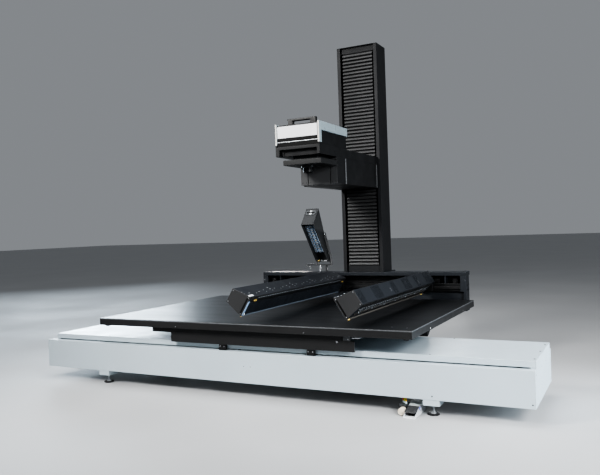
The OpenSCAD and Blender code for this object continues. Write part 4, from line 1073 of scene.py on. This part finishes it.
def head_front():
    """Front of the head, from the top: white panel, black stripe, silver line, dark sill."""
    low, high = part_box("head_front_plate")
    sill_top, line_top, stripe_top = low.z + 0.0325, low.z + 0.0395, low.z + 0.067
    margin, chamfer, seam, stripe_back, sill_back = 0.003, 0.0015, 0.0005, 0.002, 0.003
    panel = Shape().block((low.x + margin, low.y, stripe_top + seam),
                          (high.x - margin, high.y, high.z - margin))
    eased(panel, "head_front_panel", 0.0012, "head", PLATE_WHITE,
          ["head_front_plate"])
    stripe = Shape().block((low.x + margin, low.y + stripe_back, line_top),
                           (high.x - margin, high.y, stripe_top))
    eased(stripe, "head_front_stripe", 0.0006, "head", STRIPE_BLACK)
    strip = Shape().prism([(low.x, y, z) for y, z in (
        (low.y + chamfer, sill_top), (low.y, sill_top + chamfer), (low.y, line_top - chamfer),
        (low.y + chamfer, line_top), (high.y, line_top), (high.y, sill_top))],
        (high.x - low.x, 0, 0))
    eased(strip, "head_front_strip", 0.0004, "head", ALUMINIUM)
    sill = Shape().block((low.x, low.y + sill_back, low.z), (high.x, high.y, sill_top))
    eased(sill, "head_front_sill", 0.0006, "head", STRIPE_BLACK)


def camera_lens():
    """Barrel with focus rings and grip studs, and coated glass in its front recess."""
    low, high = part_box("lens_barrel")
    foot = Vector(((low.x + high.x) / 2, (low.y + high.y) / 2, high.z))
    outer, groove, first_ring, ring_pitch = 0.042, 0.0408, 0.017, 0.0024
    rings = [(0.0, 0.0), (0.053, 0.0), (0.053, 0.0115), (0.0515, 0.014), (outer, 0.0145)]
    for k in range(7):
        h = first_ring + ring_pitch * k
        rings += [(outer, h), (groove, h + 0.0006), (groove, h + 0.0016), (outer, h + 0.0022)]
    rings += [(outer, 0.0365), (0.04, 0.0372), (0.04, 0.0384), (outer, 0.0391), (outer, 0.0505),
              (0.0405, 0.052), (0.0352, 0.052), (0.034, 0.051), (0.034, 0.0475), (0.0315, 0.0472),
              (0.0315, 0.044), (0.029, 0.0437), (0.029, 0.0385), (0.0, 0.0385)]
    lathed(Shape().turned(foot, -Z, rings, 48), "lens_barrel_turned", "head",
           LENS_BLACK, ["lens_barrel"], 40)
    radius, rim, crown, steps = 0.0285, 0.0405, 0.0045, 6
    dome = [(0.0, 0.0386), (radius, 0.0386), (radius, rim)]
    for k in range(1, steps):
        a = math.pi / 2 * k / steps
        dome.append((radius * math.cos(a), rim + crown * math.sin(a)))
    dome.append((0.0, rim + crown))
    lathed(Shape().turned(foot, -Z, dome, 40), "lens_front_glass", "head",
           LENS_GLASS, angle=60)
    ways = [Vector((math.cos(a), math.sin(a), 0)) for a in round_angles(60)]
    studs = [(foot - Z * 0.0434 + way * 0.0418, way, 0.0011) for way in ways]
    fasten("lens_grip_studs", "head", "lens_black", LENS_BLACK, studs, sides=6, height=0.8,
           socket=0.4, dip=0.1)


def head_screws():
    """Screws of the side frames, the arm, the head's panels and its handle."""
    frame_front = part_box("head_side_frames")[0].y
    frame_radius, side_radius = 0.0038, 0.0036
    bright = both_sides("head_side_frames", (-0.3, -0.12, 0.04), 2.004, frame_radius)
    bright += both_sides("head_side_frames", frame_front + 0.023, (1.893, 1.945), frame_radius)
    fasten("head_frame_screws", "head", "head_silver", ALUMINIUM, bright, height=0.35)

    low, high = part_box("arm_box")
    dark = both_sides("arm_box", inset(low.y, high.y, 0.011), (1.592, 1.677, 1.763), side_radius)
    dark += both_sides("head_core", (-0.4, -0.17, 0.045), 1.885, side_radius)
    dark += both_sides("upper_arm", (-0.465, -0.2, 0.15, 0.45, 0.7), 1.822, side_radius)
    dark += spots_at((0.097, 0.128, 0.165, 0.328, 0.366, 0.396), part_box("arm_front_box")[0].y,
                     (1.59, 1.762), -Y, 0.0032)
    dark += spots_at((0.06, 0.376), (-0.455, -0.2, 0.045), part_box("head_core")[1].z, Z, 0.004)
    fasten("head_screws", "head", "arm_grey", DARK_SCREW, dark, height=0.4)

    low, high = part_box("head_handle")
    bolts = spots_at(inset(low.x, high.x, 0.026), (low.y + high.y) / 2, high.z, Z, 0.006)
    fasten("handle_bolts", "head", "handle_black", DARK_SCREW, bolts, sides=18, height=0.35)


def head_rear_and_recess():
    """Cooling ribs on the head's back, and a near-black panel in the recess of the upper arm, painted shade for
    the recess.
    """
    first = (0.09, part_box("head_core")[1].y, 1.945)
    ribs = tiles("head_rear_ribs", ARM_GREY, 0.006, 0.1, 0.0028, 0.003,
                 row(first, (0.0128, 0, 0), 21), along=X, out=Y)
    finish_piece(ribs, "head")
    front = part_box("upper_arm")[0].y
    left, right, foot, top = 0.062, 0.384, 1.786, 1.832
    # The panel is painted shade inside the recess.
    panel = Shape().block((left, front + 0.034, foot), (right, front + 0.0395, top))
    panel.block((left, front + 0.028, foot), (left + 0.022, front + 0.036, top))
    eased(panel, "recess_panel", 0.0012, "head", PAINTED_SHADE_BLACK)


# Light bars

TILT = math.radians(32)
HALF_DEPTH, HALF_FACE, HALF_BACK = 0.079, 0.082, 0.056
SLOPE = math.atan2(HALF_FACE - HALF_BACK, 2 * HALF_DEPTH)
PLATE_FRONT, SHELL_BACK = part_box("left_light_ends")[0].y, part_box("left_light_housing")[1].y
BAR_Y0, BAR_Y1 = PLATE_FRONT, SHELL_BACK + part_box("left_light_housing")[0].y - PLATE_FRONT
BAR_LENGTH = BAR_Y1 - BAR_Y0

# stretches of the back that have a grid of slots, and the slots' pitch
GRIDS = ((-1.035, -0.945), (-0.765, -0.61), (-0.38, -0.29), (-0.11, 0.045), (0.19, 0.28),
         (0.46, 0.615))
GRID_PITCH = 0.0115

# rows along the lower side: finish, share of its width, first, pitch, width and length, height
DRIVER_ROWS = ((BLACK_PROFILE, 0.14, 0.04, 0.0145, (0.004, 0.026), 0.005),
               (TRIM_GREY, 0.25, 0.06, 0.023, (0.008, 0.009), 0.006),
               (CHIP_GREY, 0.35, 0.05, 0.041, (0.009, 0.007), 0.008),
               (VALVE_DARK, 0.45, 0.075, 0.053, (0.026, 0.026), 0.007),
               (CHIP_GREY, 0.5, 0.068, 0.037, (0.008, 0.008), 0.0085),
               (TRIM_PALE, 0.58, 0.09, 0.249, (0.006, 0.007), 0.0085),
               (TRIM_BRONZE, 0.65, 0.05, 0.029, (0.006, 0.007), 0.006),
               (BLACK_PROFILE, 0.78, 0.04, 0.0145, (0.004, 0.02), 0.004))

# one group of screws on the top side: place along the bar, share of the top's width
TOP_SCREWS = ((0, 0.46), (0, 0.62), (0, 0.78), (0.06, 0.65), (0.135, 0.75), (0.19, 0.67),
              (0.268, 0.61), (0.268, 0.8))


def on_top(share, lift=0.0):
    """A place in the cross-section, from the back edge (0) to the face edge (1) of the top side."""
    x = -HALF_DEPTH + 2 * HALF_DEPTH * share
    z = HALF_BACK + (HALF_FACE - HALF_BACK) * share
    return x - math.sin(SLOPE) * lift, z + math.cos(SLOPE) * lift


class Bar:
    """One light bar: places and directions in its own tilted cross-section."""

    def __init__(self, side):
        self.side, self.name, self.body = side, side + "_light_", side + "_light"
        self.hand = -1 if side == "right" else 1
        self.pivot = pivot_of[side + "_light_tilt"]
        self.clip_coat = CLIP_WHITE if side == "left" else FLANGE_GREY
        self.face_out, self.back_out = self.way(1, 0), self.way(-1, 0)
        self.top_out = self.way(-math.sin(SLOPE), math.cos(SLOPE))
        self.low_out = self.way(-math.sin(SLOPE), -math.cos(SLOPE))

    def way(self, x, z):
        """A direction in the cross-section: x goes toward the window, z toward the top."""
        return Vector((self.hand * (x * math.cos(TILT) + z * math.sin(TILT)), 0,
                       z * math.cos(TILT) - x * math.sin(TILT)))

    def at(self, x, y, z):
        """A place in the cross-section that the bar has at y."""
        return Vector((self.pivot.x, y, self.pivot.z)) + self.way(x, z)

    def profile(self, outline, first, length):
        """A profile that runs along the bar, from first on."""
        return Shape().prism([self.at(x, BAR_Y0 + first, z) for x, z in outline], (0, length, 0))

    def eased(self, shape, label, edge, slot, material, angle=30):
        eased(shape, self.name + label, edge, self.body, material, angle=angle)

    def chips(self, label, material, width, length, corner, height, out, first, pitch=0.0, count=1):
        """Tiles in a row along the bar."""
        return tiles(label, material, width, length, corner, height,
                     row(first, (0, pitch, 0), count), along=Y, out=out)

    def housing(self):
        """Housing with slotted grids across its back."""
        node = self.name + "housing"
        shell = ease_edges(clean_copy(node, node + "_finished"), 0.0011)
        slots = [self.chips("slots", PAINTED_SHADE_BLACK, 0.0048, 0.098, 0.0023, 0.012, -self.back_out,
                            self.at(-HALF_DEPTH - 0.006, first, 0), GRID_PITCH,
                            int((last - first) / GRID_PITCH) + 1) for first, last in GRIDS]
        carve(shell, gathered("cutter", slots))
        finish_piece(shell, self.body, BAR_COAT, [node])

    def end_seal(self):
        """Black seal on the near end plate, beside the window."""
        outline = ((0.058, -0.066), (0.069, -0.07), (0.069, 0.07), (0.058, 0.066))
        seal = self.profile(outline, -0.0006, 0.0012).thing(self.name + "end_seal")
        finish_piece(seal, self.body, STRIPE_BLACK)

    def window(self):
        """Smoked window with ribs across it."""
        node = self.name + "window"
        pane = paint(ease_edges(clean_copy(node, self.name + "pane"), 0.0006), LIGHT_GLASS)
        ribs = self.chips("ribs", LIGHT_GLASS, 0.0055, 0.148, 0.0022, 0.0028, self.face_out,
                          self.at(HALF_DEPTH - 0.0042, BAR_Y0 + 0.014, 0), 0.009, 189)
        finish_piece(gathered(self.name + "window_ribbed", [pane, ribs]), self.body,
                     stands_for=[node])

    def trims(self):
        """Along the window: a broad dark profile with pale clips above, a lip and a flange below; the lip's blue
        grey is a painted reflection and the clips' pale coat is partly a painted highlight.
        """
        upper = [(HALF_DEPTH + x, z) for x, z in (
            (-0.003, 0.03), (0.0012, 0.032), (0.0025, 0.04), (0.0025, 0.078), (0.0008, 0.0812),
            (-0.0002, 0.0812), (-0.0002, 0.0762), (-0.003, 0.0758))]
        self.eased(self.profile(upper, 0.032, BAR_LENGTH - 0.04), "upper_trim", 0.0004,
                   "black_profile", TRIM_GREY)
        # The clips' pale coat is partly a painted highlight, standing for the light along the trim's upper edge.
        clips = self.chips(self.name + "trim_clips", TRIM_PALE, 0.013, 0.0055, 0.0018, 0.0014,
                           self.face_out, self.at(HALF_DEPTH + 0.0023, BAR_Y0 + 0.13, 0.066),
                           0.027, 55)
        finish_piece(clips, self.body)
        end_gap = 0.004
        # The lip's blue grey is a painted reflection of blue light.
        lip = [(HALF_DEPTH + x, z) for x, z in (
            (-0.0002, -0.0815), (0.0022, -0.0806), (0.0022, -0.073), (-0.003, -0.0725),
            (-0.003, -0.0758), (-0.0002, -0.0762))]
        self.eased(self.profile(lip, end_gap, BAR_LENGTH - 2 * end_gap), "lower_lip", 0.0004,
                   "rail_steel", LIP_REFLECTION_BLUE)
        inner, outer, tall = 0.935, 0.955, 0.008
        edge = (on_top(inner), on_top(inner, tall), on_top(outer, tall), on_top(outer))
        flange = self.profile([(x, -z) for x, z in edge], end_gap, BAR_LENGTH - 2 * end_gap)
        self.eased(flange, "lower_flange", 0.0004, "rail_steel", TRIM_BRONZE)

    def near_end(self):
        """Pale strip at the near end of the window, with a polished catch and a long clip."""
        arc = [(HALF_DEPTH - 0.001 + 0.0045 * math.cos(a), BAR_Y0 + 0.015 + 0.013 * math.sin(a))
               for a in (math.pi * (k / 8 - 0.5) for k in range(9))]
        strip = Shape().prism([self.at(x, y, -0.07) for x, y in arc], self.way(0, 0.112))
        lathed(strip, self.name + "end_strip", self.body, STRIP_BLUE)
        catch = Shape().prism([self.at(HALF_DEPTH + x, BAR_Y0 + y, -0.074) for x, y in (
            (-0.002, 0.03), (-0.002, 0.052), (0.005, 0.048), (0.005, 0.034))], self.way(0, 0.012))
        self.eased(catch, "end_catch", 0.0008, "rail_steel", CHROME, 40)
        foot, top = on_top(0.86), on_top(0.86, 0.007)
        across_top = self.way(math.cos(SLOPE), math.sin(SLOPE))
        clip = Shape().prism([self.at(x, BAR_Y0 + y, z) for (x, z), y in (
            (foot, 0.001), (foot, 0.062), (top, 0.056), (top, 0.001))], across_top * 0.015)
        self.eased(clip, "end_clip", 0.0012, "rail_steel", self.clip_coat, 40)

    def sockets(self):
        """Amber sockets near both ends of the trim and of the lower flange."""
        x, z = on_top(0.945, 0.004)
        pairs = [self.chips("socket", SOCKET_AMBER, 0.032, 0.012, 0.003, 0.005, self.face_out,
                            self.at(HALF_DEPTH + 0.0022, BAR_Y0 + 0.09, 0.047),
                            BAR_LENGTH - 0.15, 2),
                 self.chips("socket", SOCKET_AMBER, 0.022, 0.009, 0.002, 0.007, self.low_out,
                            self.at(x, BAR_Y0 + 0.022, -z), BAR_LENGTH - 0.09, 2)]
        finish_piece(gathered(self.name + "sockets", pairs), self.body)

    def screws(self):
        """Screws in groups along the top and at the corners of both end plates."""
        groups, first, pitch, top_radius, end_radius = 5, 0.012, 0.366, 0.0044, 0.004
        bright = []
        for k in range(groups):
            for dy, share in TOP_SCREWS:
                y = BAR_Y0 + first + k * pitch + dy
                if y < BAR_Y1:
                    x, z = on_top(share)
                    bright.append((self.at(x, y, z), self.top_out, top_radius))
        for y, way in ((BAR_Y0, -Y), (BAR_Y1, Y)):
            bright += [(self.at(x, y, z), way, end_radius) for x, z in (
                (-0.068, 0.046), (-0.068, -0.046), (0.066, 0.068), (0.066, -0.068))]
        fasten(self.name + "screws", self.body, "rail_steel", ZINC, bright, height=0.5)

    def back_catches(self):
        """Two polished catches between the grids."""
        catches = [self.chips("catch", CHROME, 0.007, 0.03, 0.003, 0.0022, self.back_out,
                              self.at(-HALF_DEPTH, y, z))
                   for y, z in ((-0.426, -0.012), (0.251, -0.016))]
        finish_piece(gathered(self.name + "back_catches", catches), self.body)

    def drivers(self):
        """Drivers, coils and clips crowded along the lower side."""
        crowd, sunk, far_gap = [], 0.0004, 0.06
        for material, share, first, pitch, (width, length), height in DRIVER_ROWS:
            x, z = on_top(share, -sunk)
            crowd.append(self.chips("crowd", material, width, length, 0.0018, height, self.low_out,
                                    self.at(x, BAR_Y0 + first, -z), pitch,
                                    int((BAR_LENGTH - first - far_gap) / pitch)))
        finish_piece(gathered(self.name + "drivers", crowd), self.body)

    def slider(self):
        """Clamp knob and bolts of the slider on the bridge rail."""
        low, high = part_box(self.name + "slider")
        body = self.side + "_slider"
        outline = [(0.0, 0.0), (0.006, 0.0), (0.006, 0.008), (0.0125, 0.009), (0.0135, 0.0105),
                   (0.0135, 0.0185), (0.012, 0.0205), (0.0, 0.0208)]
        knob = Shape().turned((low.x, low.y + 0.018, 0.63), -X, outline, 20)
        lathed(knob, body + "_knob", body, HANDLE_BLACK)
        bolts = spots_at(inset(low.x, high.x, 0.014), low.y, (0.632, 0.728), -Y, 0.005)
        fasten(body + "_bolts", body, "black_sheet", DARK_SCREW, bolts, sides=18)

    def make(self):
        for part in (self.housing, self.end_seal, self.window, self.trims, self.near_end,
                     self.sockets, self.screws, self.back_catches, self.drivers, self.slider):
            part()


def light_bars():
    for side in ("left", "right"):
        Bar(side).make()


# Rear lamp

# the lamp's side outline: lower back, lower front, upper front and upper back corner
LAMP_SIDE = ((0.875, 0.878), (0.803, 0.886), (0.504, 1.252), (0.631, 1.404))
POST_HEIGHT = 0.0595
OCTAGON = ((-1, -0.55), (-0.6, -1), (0.6, -1), (1, -0.55), (1, 0.55), (0.6, 1), (-0.6, 1),
           (-1, 0.55))


def facing(along, toward):
    """The direction square to along, in the plane of y and z, on the side that toward points to."""
    out = Vector((0, -along.z, along.y))
    return out if out.dot(toward) > 0 else -out


def moved_to(x, point):
    """The point at this place along x that has the other point's y and z."""
    return Vector((x, point.y, point.z))


class RearLamp:
    """The tilting lamp behind the table, and the stand that carries it."""

    def __init__(self):
        low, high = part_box("lamp_housing")
        self.left, self.right, self.middle = low.x, high.x, (low.x + high.x) / 2
        self.heel, self.lip, self.brow, self.crown = (Vector((0, y, z)) for y, z in LAMP_SIDE)
        self.top = self.crown - self.brow
        self.top_along = self.top.normalized()
        self.top_out = facing(self.top_along, Z)
        self.stand_low, self.stand_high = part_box("lamp_stand")
        self.post_top = self.stand_low.z + POST_HEIGHT

    def stand(self):
        """Stand with its left post in bright zinc as a painted highlight, while the right post keeps the stand's
        grey.
        """
        whole = softened("lamp_stand", 0.0012, LAMP_GREY)
        # Painted highlight: only the left post takes bright zinc.
        two_tone(whole, ZINC, lambda face: face.center.z < self.post_top
                 and face.center.x < self.middle)

    def leds(self):
        """Three columns of pressed cups, each with a near-black well of painted shade and an amber core."""
        start = self.lip + Vector((0, -0.019, 0.094))
        run = self.brow + Vector((0, 0.067, -0.010)) - start
        along = run.normalized()
        out = facing(along, -Y)
        rows, columns, reach, radius = 10, 3, 0.0395, 0.0168
        first = start + along * radius
        step = along * (run.length - 2 * radius) / (rows - 1)
        places = [moved_to(self.middle + reach * (c - 1), first) + step * k
                  for k in range(rows) for c in range(columns)]
        for name, finish, rise, size, form in (
                ("cups", LED_CUP, 0.0, radius,
                 {"sides": 20, "height": 0.46, "crown": 0.86, "socket": 0.6, "dip": 0.3}),
                ("wells", PAINTED_SHADE_BLACK, 0.0029, 0.0083,
                 {"sides": 20, "height": 0.12, "crown": 0.95, "socket": 0.6, "dip": 0.03}),
                ("cores", LED_AMBER, 0.0038, 0.0048,
                 {"sides": 12, "height": 0.6, "crown": 0.7, "socket": 0.6, "dip": -0.12})):
            fasten("lamp_led_" + name, "rear_lamp", "led_board", finish,
                   [(p + out * rise, out, size) for p in places], **form)

    def ring(self, centre, half_width, half_length):
        """An eight-sided outline on the top face."""
        return [centre + X * (half_width * a) + self.top_along * (half_length * b)
                for a, b in OCTAGON]

    def top_sockets(self):
        """Two sockets in the top face: grey frames round near-black wells of painted shade, and white keys between
        them.
        """
        spot = moved_to(self.middle, self.brow + self.top * 0.72)
        half_gap, frame_height = 0.0265, 0.005
        frames = Shape()
        for side in (-1, 1):
            centre = spot + X * (side * half_gap)
            outer, inner = self.ring(centre, 0.0262, 0.027), self.ring(centre, 0.0155, 0.0095)
            for k in range(len(OCTAGON)):
                m = (k + 1) % len(OCTAGON)
                frames.prism([outer[k], outer[m], inner[m], inner[k]], self.top_out * frame_height)
        lathed(frames, "lamp_socket_frames", "rear_lamp", FLANGE_GREY, angle=30)
        # The wells are painted shade inside the sockets.
        wells = tiles("lamp_socket_wells", PAINTED_SHADE_BLACK, 0.03, 0.018, 0.006, 0.0012,
                      row(spot - X * half_gap, X * (2 * half_gap), 2), along=X, out=self.top_out)
        finish_piece(wells, "rear_lamp")
        half_step = self.top_along * 0.017
        keys = tiles("lamp_socket_keys", CLIP_WHITE, 0.024, 0.013, 0.004, 0.007,
                     row(spot - half_step, half_step * 2, 2), along=X, out=self.top_out)
        finish_piece(keys, "rear_lamp")

    def top_screws(self):
        """Screws along the front and the back of the top face."""
        margin, radius = 0.012, 0.0036
        screws = [(moved_to(x, self.brow + self.top * share), self.top_out, radius)
                  for x in (self.left + margin, self.middle, self.right - margin)
                  for share in (0.1, 0.93)]
        fasten("lamp_top_screws", "rear_lamp", "rail_steel", DARK_SCREW, screws, height=0.4)

    def lip_clips(self):
        """An amber socket and three clips along the lower lip."""
        face_along = (self.brow - self.lip).normalized()
        lip = self.lip + face_along * 0.014
        clips = [tiles("clip", finish, width, 0.011, 0.002, height,
                       row(moved_to(self.left + reach, lip)), along=X, out=facing(face_along, -Y))
                 for finish, reach, width, height in ((FLANGE_GREY, 0.014, 0.014, 0.005),
                                                      (SOCKET_AMBER, 0.034, 0.016, 0.007),
                                                      (STEEL_PRIMER, 0.07, 0.02, 0.006),
                                                      (CLIP_WHITE, 0.108, 0.03, 0.007))]
        finish_piece(gathered("lamp_lip_clips", clips), "rear_lamp")

    def back_ribs(self):
        """Cooling ribs across the back."""
        along = (self.crown - self.heel).normalized()
        first = moved_to(self.middle, self.heel + along * 0.09)
        ribs = tiles("lamp_cooling_ribs", COLUMN_GREY, 0.1, 0.004, 0.0018, 0.005,
                     row(first, along * 0.014, 28), along=X, out=facing(along, Y))
        finish_piece(ribs, "rear_lamp")

    def plate_clamp(self):
        """Screw clamp round the left end of the stand's plate."""
        left, low, high = self.stand_low.x, self.post_top + 0.0005, self.post_top + 0.0085
        front, back = 0.847, 0.885
        clamp = Shape().prism([(left + x, front, z) for x, z in (
            (0.05, high), (0.05, high + 0.011), (-0.006, high + 0.011), (-0.014, high + 0.004),
            (-0.014, low - 0.014), (-0.006, low - 0.02), (0.03, low - 0.02), (0.03, low - 0.009),
            (-0.003, low - 0.009), (-0.003, high))], (0, back - front, 0))
        eased(clamp, "lamp_plate_clamp", 0.0012, "base", FLANGE_GREY)
        bolt = Shape().turned((left + 0.018, (front + back) / 2, low - 0.028), Z, [
            (0.0, 0.0), (0.008, 0.0), (0.009, 0.001), (0.009, 0.006), (0.008, 0.007),
            (0.004, 0.0072), (0.004, 0.0275), (0.0, 0.0275)], 18)
        lathed(bolt, "lamp_clamp_bolt", "base", ZINC)

    def tilt_knobs(self):
        """Bright knobs with grip studs on both tilt bolts."""
        pivot = pivot_of["rear_lamp_tilt"]
        radius, stud_out = 0.0135, 0.0045
        cheek = self.stand_high.x - 0.010
        outline = [(0.0, 0.0), (radius - 0.001, 0.0), (radius, 0.001), (radius, 0.0075),
                   (radius - 0.001, 0.0088), (0.0085, 0.0092), (0.0085, 0.0099), (0.0, 0.0099)]
        knobs, studs = Shape(), []
        for foot, axis in ((cheek, X), (2 * self.middle - cheek, -X)):
            knobs.turned(moved_to(foot, pivot), axis, outline, 28)
            for a in round_angles(24):
                way = Vector((0, math.cos(a), math.sin(a)))
                place = moved_to(foot, pivot) + axis * stud_out + way * (radius - 0.0002)
                studs.append((place, way, 0.0012))
        lathed(knobs, "lamp_tilt_knobs", "base", CHROME)
        fasten("lamp_knob_grip", "base", "rail_steel", CHROME, studs, sides=6, height=0.5, dip=0.1)


def rear_lamp():
    lamp = RearLamp()
    for part in (lamp.stand, lamp.leds, lamp.top_sockets, lamp.top_screws, lamp.lip_clips,
                 lamp.back_ribs, lamp.plate_clamp, lamp.tilt_knobs):
        part()


# Foot pedal

def pedal():
    """Blue pivot cap, arched rear cover, screws and the switch below the treadle."""
    low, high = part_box("pedal_base")
    pin = pivot_of["treadle_press"]
    cheek = pin.x + (pin.x - low.x)
    cap = Shape().turned((cheek, pin.y, pin.z), X, [
        (0.0, 0.0), (0.0118, 0.0), (0.0118, 0.005), (0.0105, 0.0068), (0.0062, 0.007),
        (0.0055, 0.006), (0.0, 0.006)], 28)
    lathed(cap, "pedal_pivot_cap", "base", PEDAL_BLUE)

    front, back, half_width, floor_top = pin.y + 0.0195, high.y - 0.0015, 0.0339, 0.008
    arch = [(front, 0.009), (front, 0.0565), (front + 0.0012, 0.0598), (front + 0.004, 0.0618),
            (front + 0.046, 0.0672), (front + 0.058, 0.0676), (front + 0.068, 0.0668),
            (back - 0.006, 0.0556), (back - 0.002, 0.0532), (back, 0.0495), (back, 0.009)]
    cover = Shape().prism([(pin.x - half_width, y, z) for y, z in arch], (2 * half_width, 0, 0))
    eased(cover, "pedal_rear_cover", 0.0015, "base", PEDAL_COVER)

    screws = spots_at((pin.x - 0.024, pin.x + 0.024), low.y + 0.012, floor_top, Z, 0.0034)
    for x, way in ((cheek, X), (low.x, -X)):
        screws += spots_at(x, back - 0.016, 0.03, way, 0.0036)
    fasten("pedal_screws", "base", "rail_steel", BRIGHT_SCREW, screws, height=0.5)

    switch_top = floor_top + 0.0055
    switch = Shape().block((pin.x - 0.02, low.y + 0.03, floor_top),
                           (pin.x + 0.02, low.y + 0.072, switch_top))
    switch.block((pin.x - 0.009, low.y + 0.04, switch_top),
                 (pin.x + 0.009, low.y + 0.056, switch_top + 0.0023))
    eased(switch, "pedal_switch", 0.0012, "base", INLET_BLACK)


def treadle_ribs():
    """Ribs across the top of the treadle."""
    pin = pivot_of["treadle_press"]
    front = Vector((pin.x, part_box("pedal_treadle")[0].y, pin.z + 0.002))
    along = (pin + Vector((0, -0.014, 0.014)) - front).normalized()
    first = front + along * 0.006 - Z * 0.0002
    ribs = tiles("treadle_ribs", PEDAL_GREY, 0.0032, 0.056, 0.0014, 0.0018,
                 row(first, along * 0.0074, 10), along=along, out=facing(along, Z))
    finish_piece(ribs, "treadle")


def foot_valve():
    """Dark body with a front cover, a round cream cap with a stepped rim, and three hoses."""
    low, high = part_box("pedal_valve")
    cap_length, radius, cover, margin = 0.05, 0.0235, 0.006, 0.004
    front = low.y + cap_length
    body = Shape().block((low.x, front + cover, low.z), (high.x - 0.0004, high.y, high.z))
    body.block((low.x + cover, front, low.z + margin),
               (high.x - cover, front + cover, high.z - margin))
    eased(body, "foot_valve_body", 0.0025, "base", VALVE_DARK, ["pedal_valve"])
    cap = Shape().turned((high.x - 0.0238, front, radius + 0.0025), -Y, [
        (0.0, 0.0), (0.022, 0.0), (0.022, 0.006), (radius, 0.008), (radius, 0.041), (0.022, 0.047),
        (0.018, 0.0495), (0.017, 0.0475), (0.011, 0.0475), (0.0103, 0.0495), (0.0, 0.05)], 44)
    lathed(cap, "foot_valve_cap", "base", VALVE_CREAM)

    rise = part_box("pedal_tubes")[1].z - high.z
    fittings = Shape()
    stands_for = ["pedal_tubes"]
    for k, (name, coat) in enumerate((("yellow", TUBE_YELLOW), ("lime", TUBE_LIME),
                                      ("red", TUBE_RED))):
        foot = Vector((high.x - 0.014 * (k + 1), front + 0.03 + 0.012 * k, high.z + 0.0002))
        fittings.turned(foot, Z, [(0.0, 0.0), (0.0066, 0.0), (0.0066, 0.009), (0.0058, 0.0112),
                                  (0.0044, 0.0116), (0.0044, 0.0106), (0.0, 0.0106)], 20)
        hose = Shape().turned(foot + Z * 0.0108, Z, [
            (0.0, 0.0), (0.004, 0.0), (0.0041, 0.002), (0.0041, rise - 0.0125),
            (0.0038, rise - 0.0115), (0.0, rise - 0.0115)], 20)
        lathed(hose, "valve_hose_" + name, "base", coat, stands_for)
        stands_for = ()
    lathed(fittings, "valve_hose_fittings", "base", FITTING_PALE)


# Floor and light

# name, place, aim, size, watts, colour and spread in degrees
LIGHTS = (
    ("key", (-2.3, -4.8, 4.3), (0.0, -0.5, 0.4), (1.5, 1.5), 54, (1.0, 0.99, 0.975), 70),
    ("right pool", (4.6, -3.4, 2.6), (1.9, -0.8, 0.3), (1.6, 1.6), 52, (0.97, 0.985, 1.0), 80),
    ("overhead", (0.3, -0.9, 7.0), (0.3, 0.1, 0.5), (4.0, 3.0), 235, (1.0, 1.0, 1.0), 180),
    ("table sheen", (-11.4, 8.1, 2.9), (-1.7, -0.4, 0.5), (6.0, 3.2), 45, (0.76, 0.89, 1.0), 40),
    ("end rim", (4.4, 0.4, 0.9), (1.9, -0.7, 0.25), (1.0, 1.0), 15, (0.78, 0.9, 1.0), 70),
    ("bridge sheen", (-1.41, 2.3, 0.9), (-0.6, 0.8, 0.78), (0.5, 0.2), 0.22, (1.0, 0.94, 0.89), 34),
    ("rear fill", (-0.15, 4.4, 0.35), (0.2, 1.1, 1.7), (1.0, 0.6), 17, (0.97, 0.985, 1.0), 66))


def studio_floor():
    """A wide pale floor with a faint drift of tone."""
    f = Finish("pale studio floor")
    tone = f.span(f.noise(0.7, 4.0), 0.3, 0.7)
    colour = f.mix(tone, (0.4, 0.405, 0.41), (0.45, 0.455, 0.46))
    material = f.dress(colour, f.span(tone, 0, 1, 0.6, 0.75), f.noise(140.0, 3.0), 0.0006, 0.15)
    bm = bmesh.new()
    bmesh.ops.create_grid(bm, x_segments=4, y_segments=4, size=60)
    paint(poured(bm, "floor"), material)


def studio_light():
    """Pale surroundings, soft area lights and the tone of the picture."""
    world = bpy.data.worlds.new("studio")
    world.use_nodes = True
    back = world.node_tree.nodes["Background"]
    back.inputs["Color"].default_value = (0.86, 0.9, 0.95, 1)
    back.inputs["Strength"].default_value = 0.22
    scene.world = world
    scene.view_settings.view_transform = "AgX"
    scene.view_settings.look = "AgX - High Contrast"
    scene.view_settings.exposure = 0.2
    for name, place, aim, size, watts, colour, spread in LIGHTS:
        light = bpy.data.lights.new(name, "AREA")
        light.shape, light.size, light.size_y = "RECTANGLE", *size
        light.energy, light.color, light.spread = watts, colour, math.radians(spread)
        holder = bpy.data.objects.new(name, light)
        scene.collection.objects.link(holder)
        holder.location = place
        holder.rotation_euler = (Vector(aim) - Vector(place)).to_track_quat("-Z", "Y").to_euler()
        holder.visible_camera = False


for make in (kept_shapes, end_plates, slot_stops, base_screws, levelling_feet, mains_inlet,
             rear_base_bolts, bridge_bolts, bay_sockets, column_cap, slat_curtain, column_screws,
             column_louvres, table_edge_line, table_screws, table_marks, table_buffers, rail_end,
             arm, head_frames_and_handle, head_front, camera_lens, head_screws,
             head_rear_and_recess, light_bars, rear_lamp, pedal, treadle_ribs, foot_valve,
             studio_floor, studio_light):
    make()
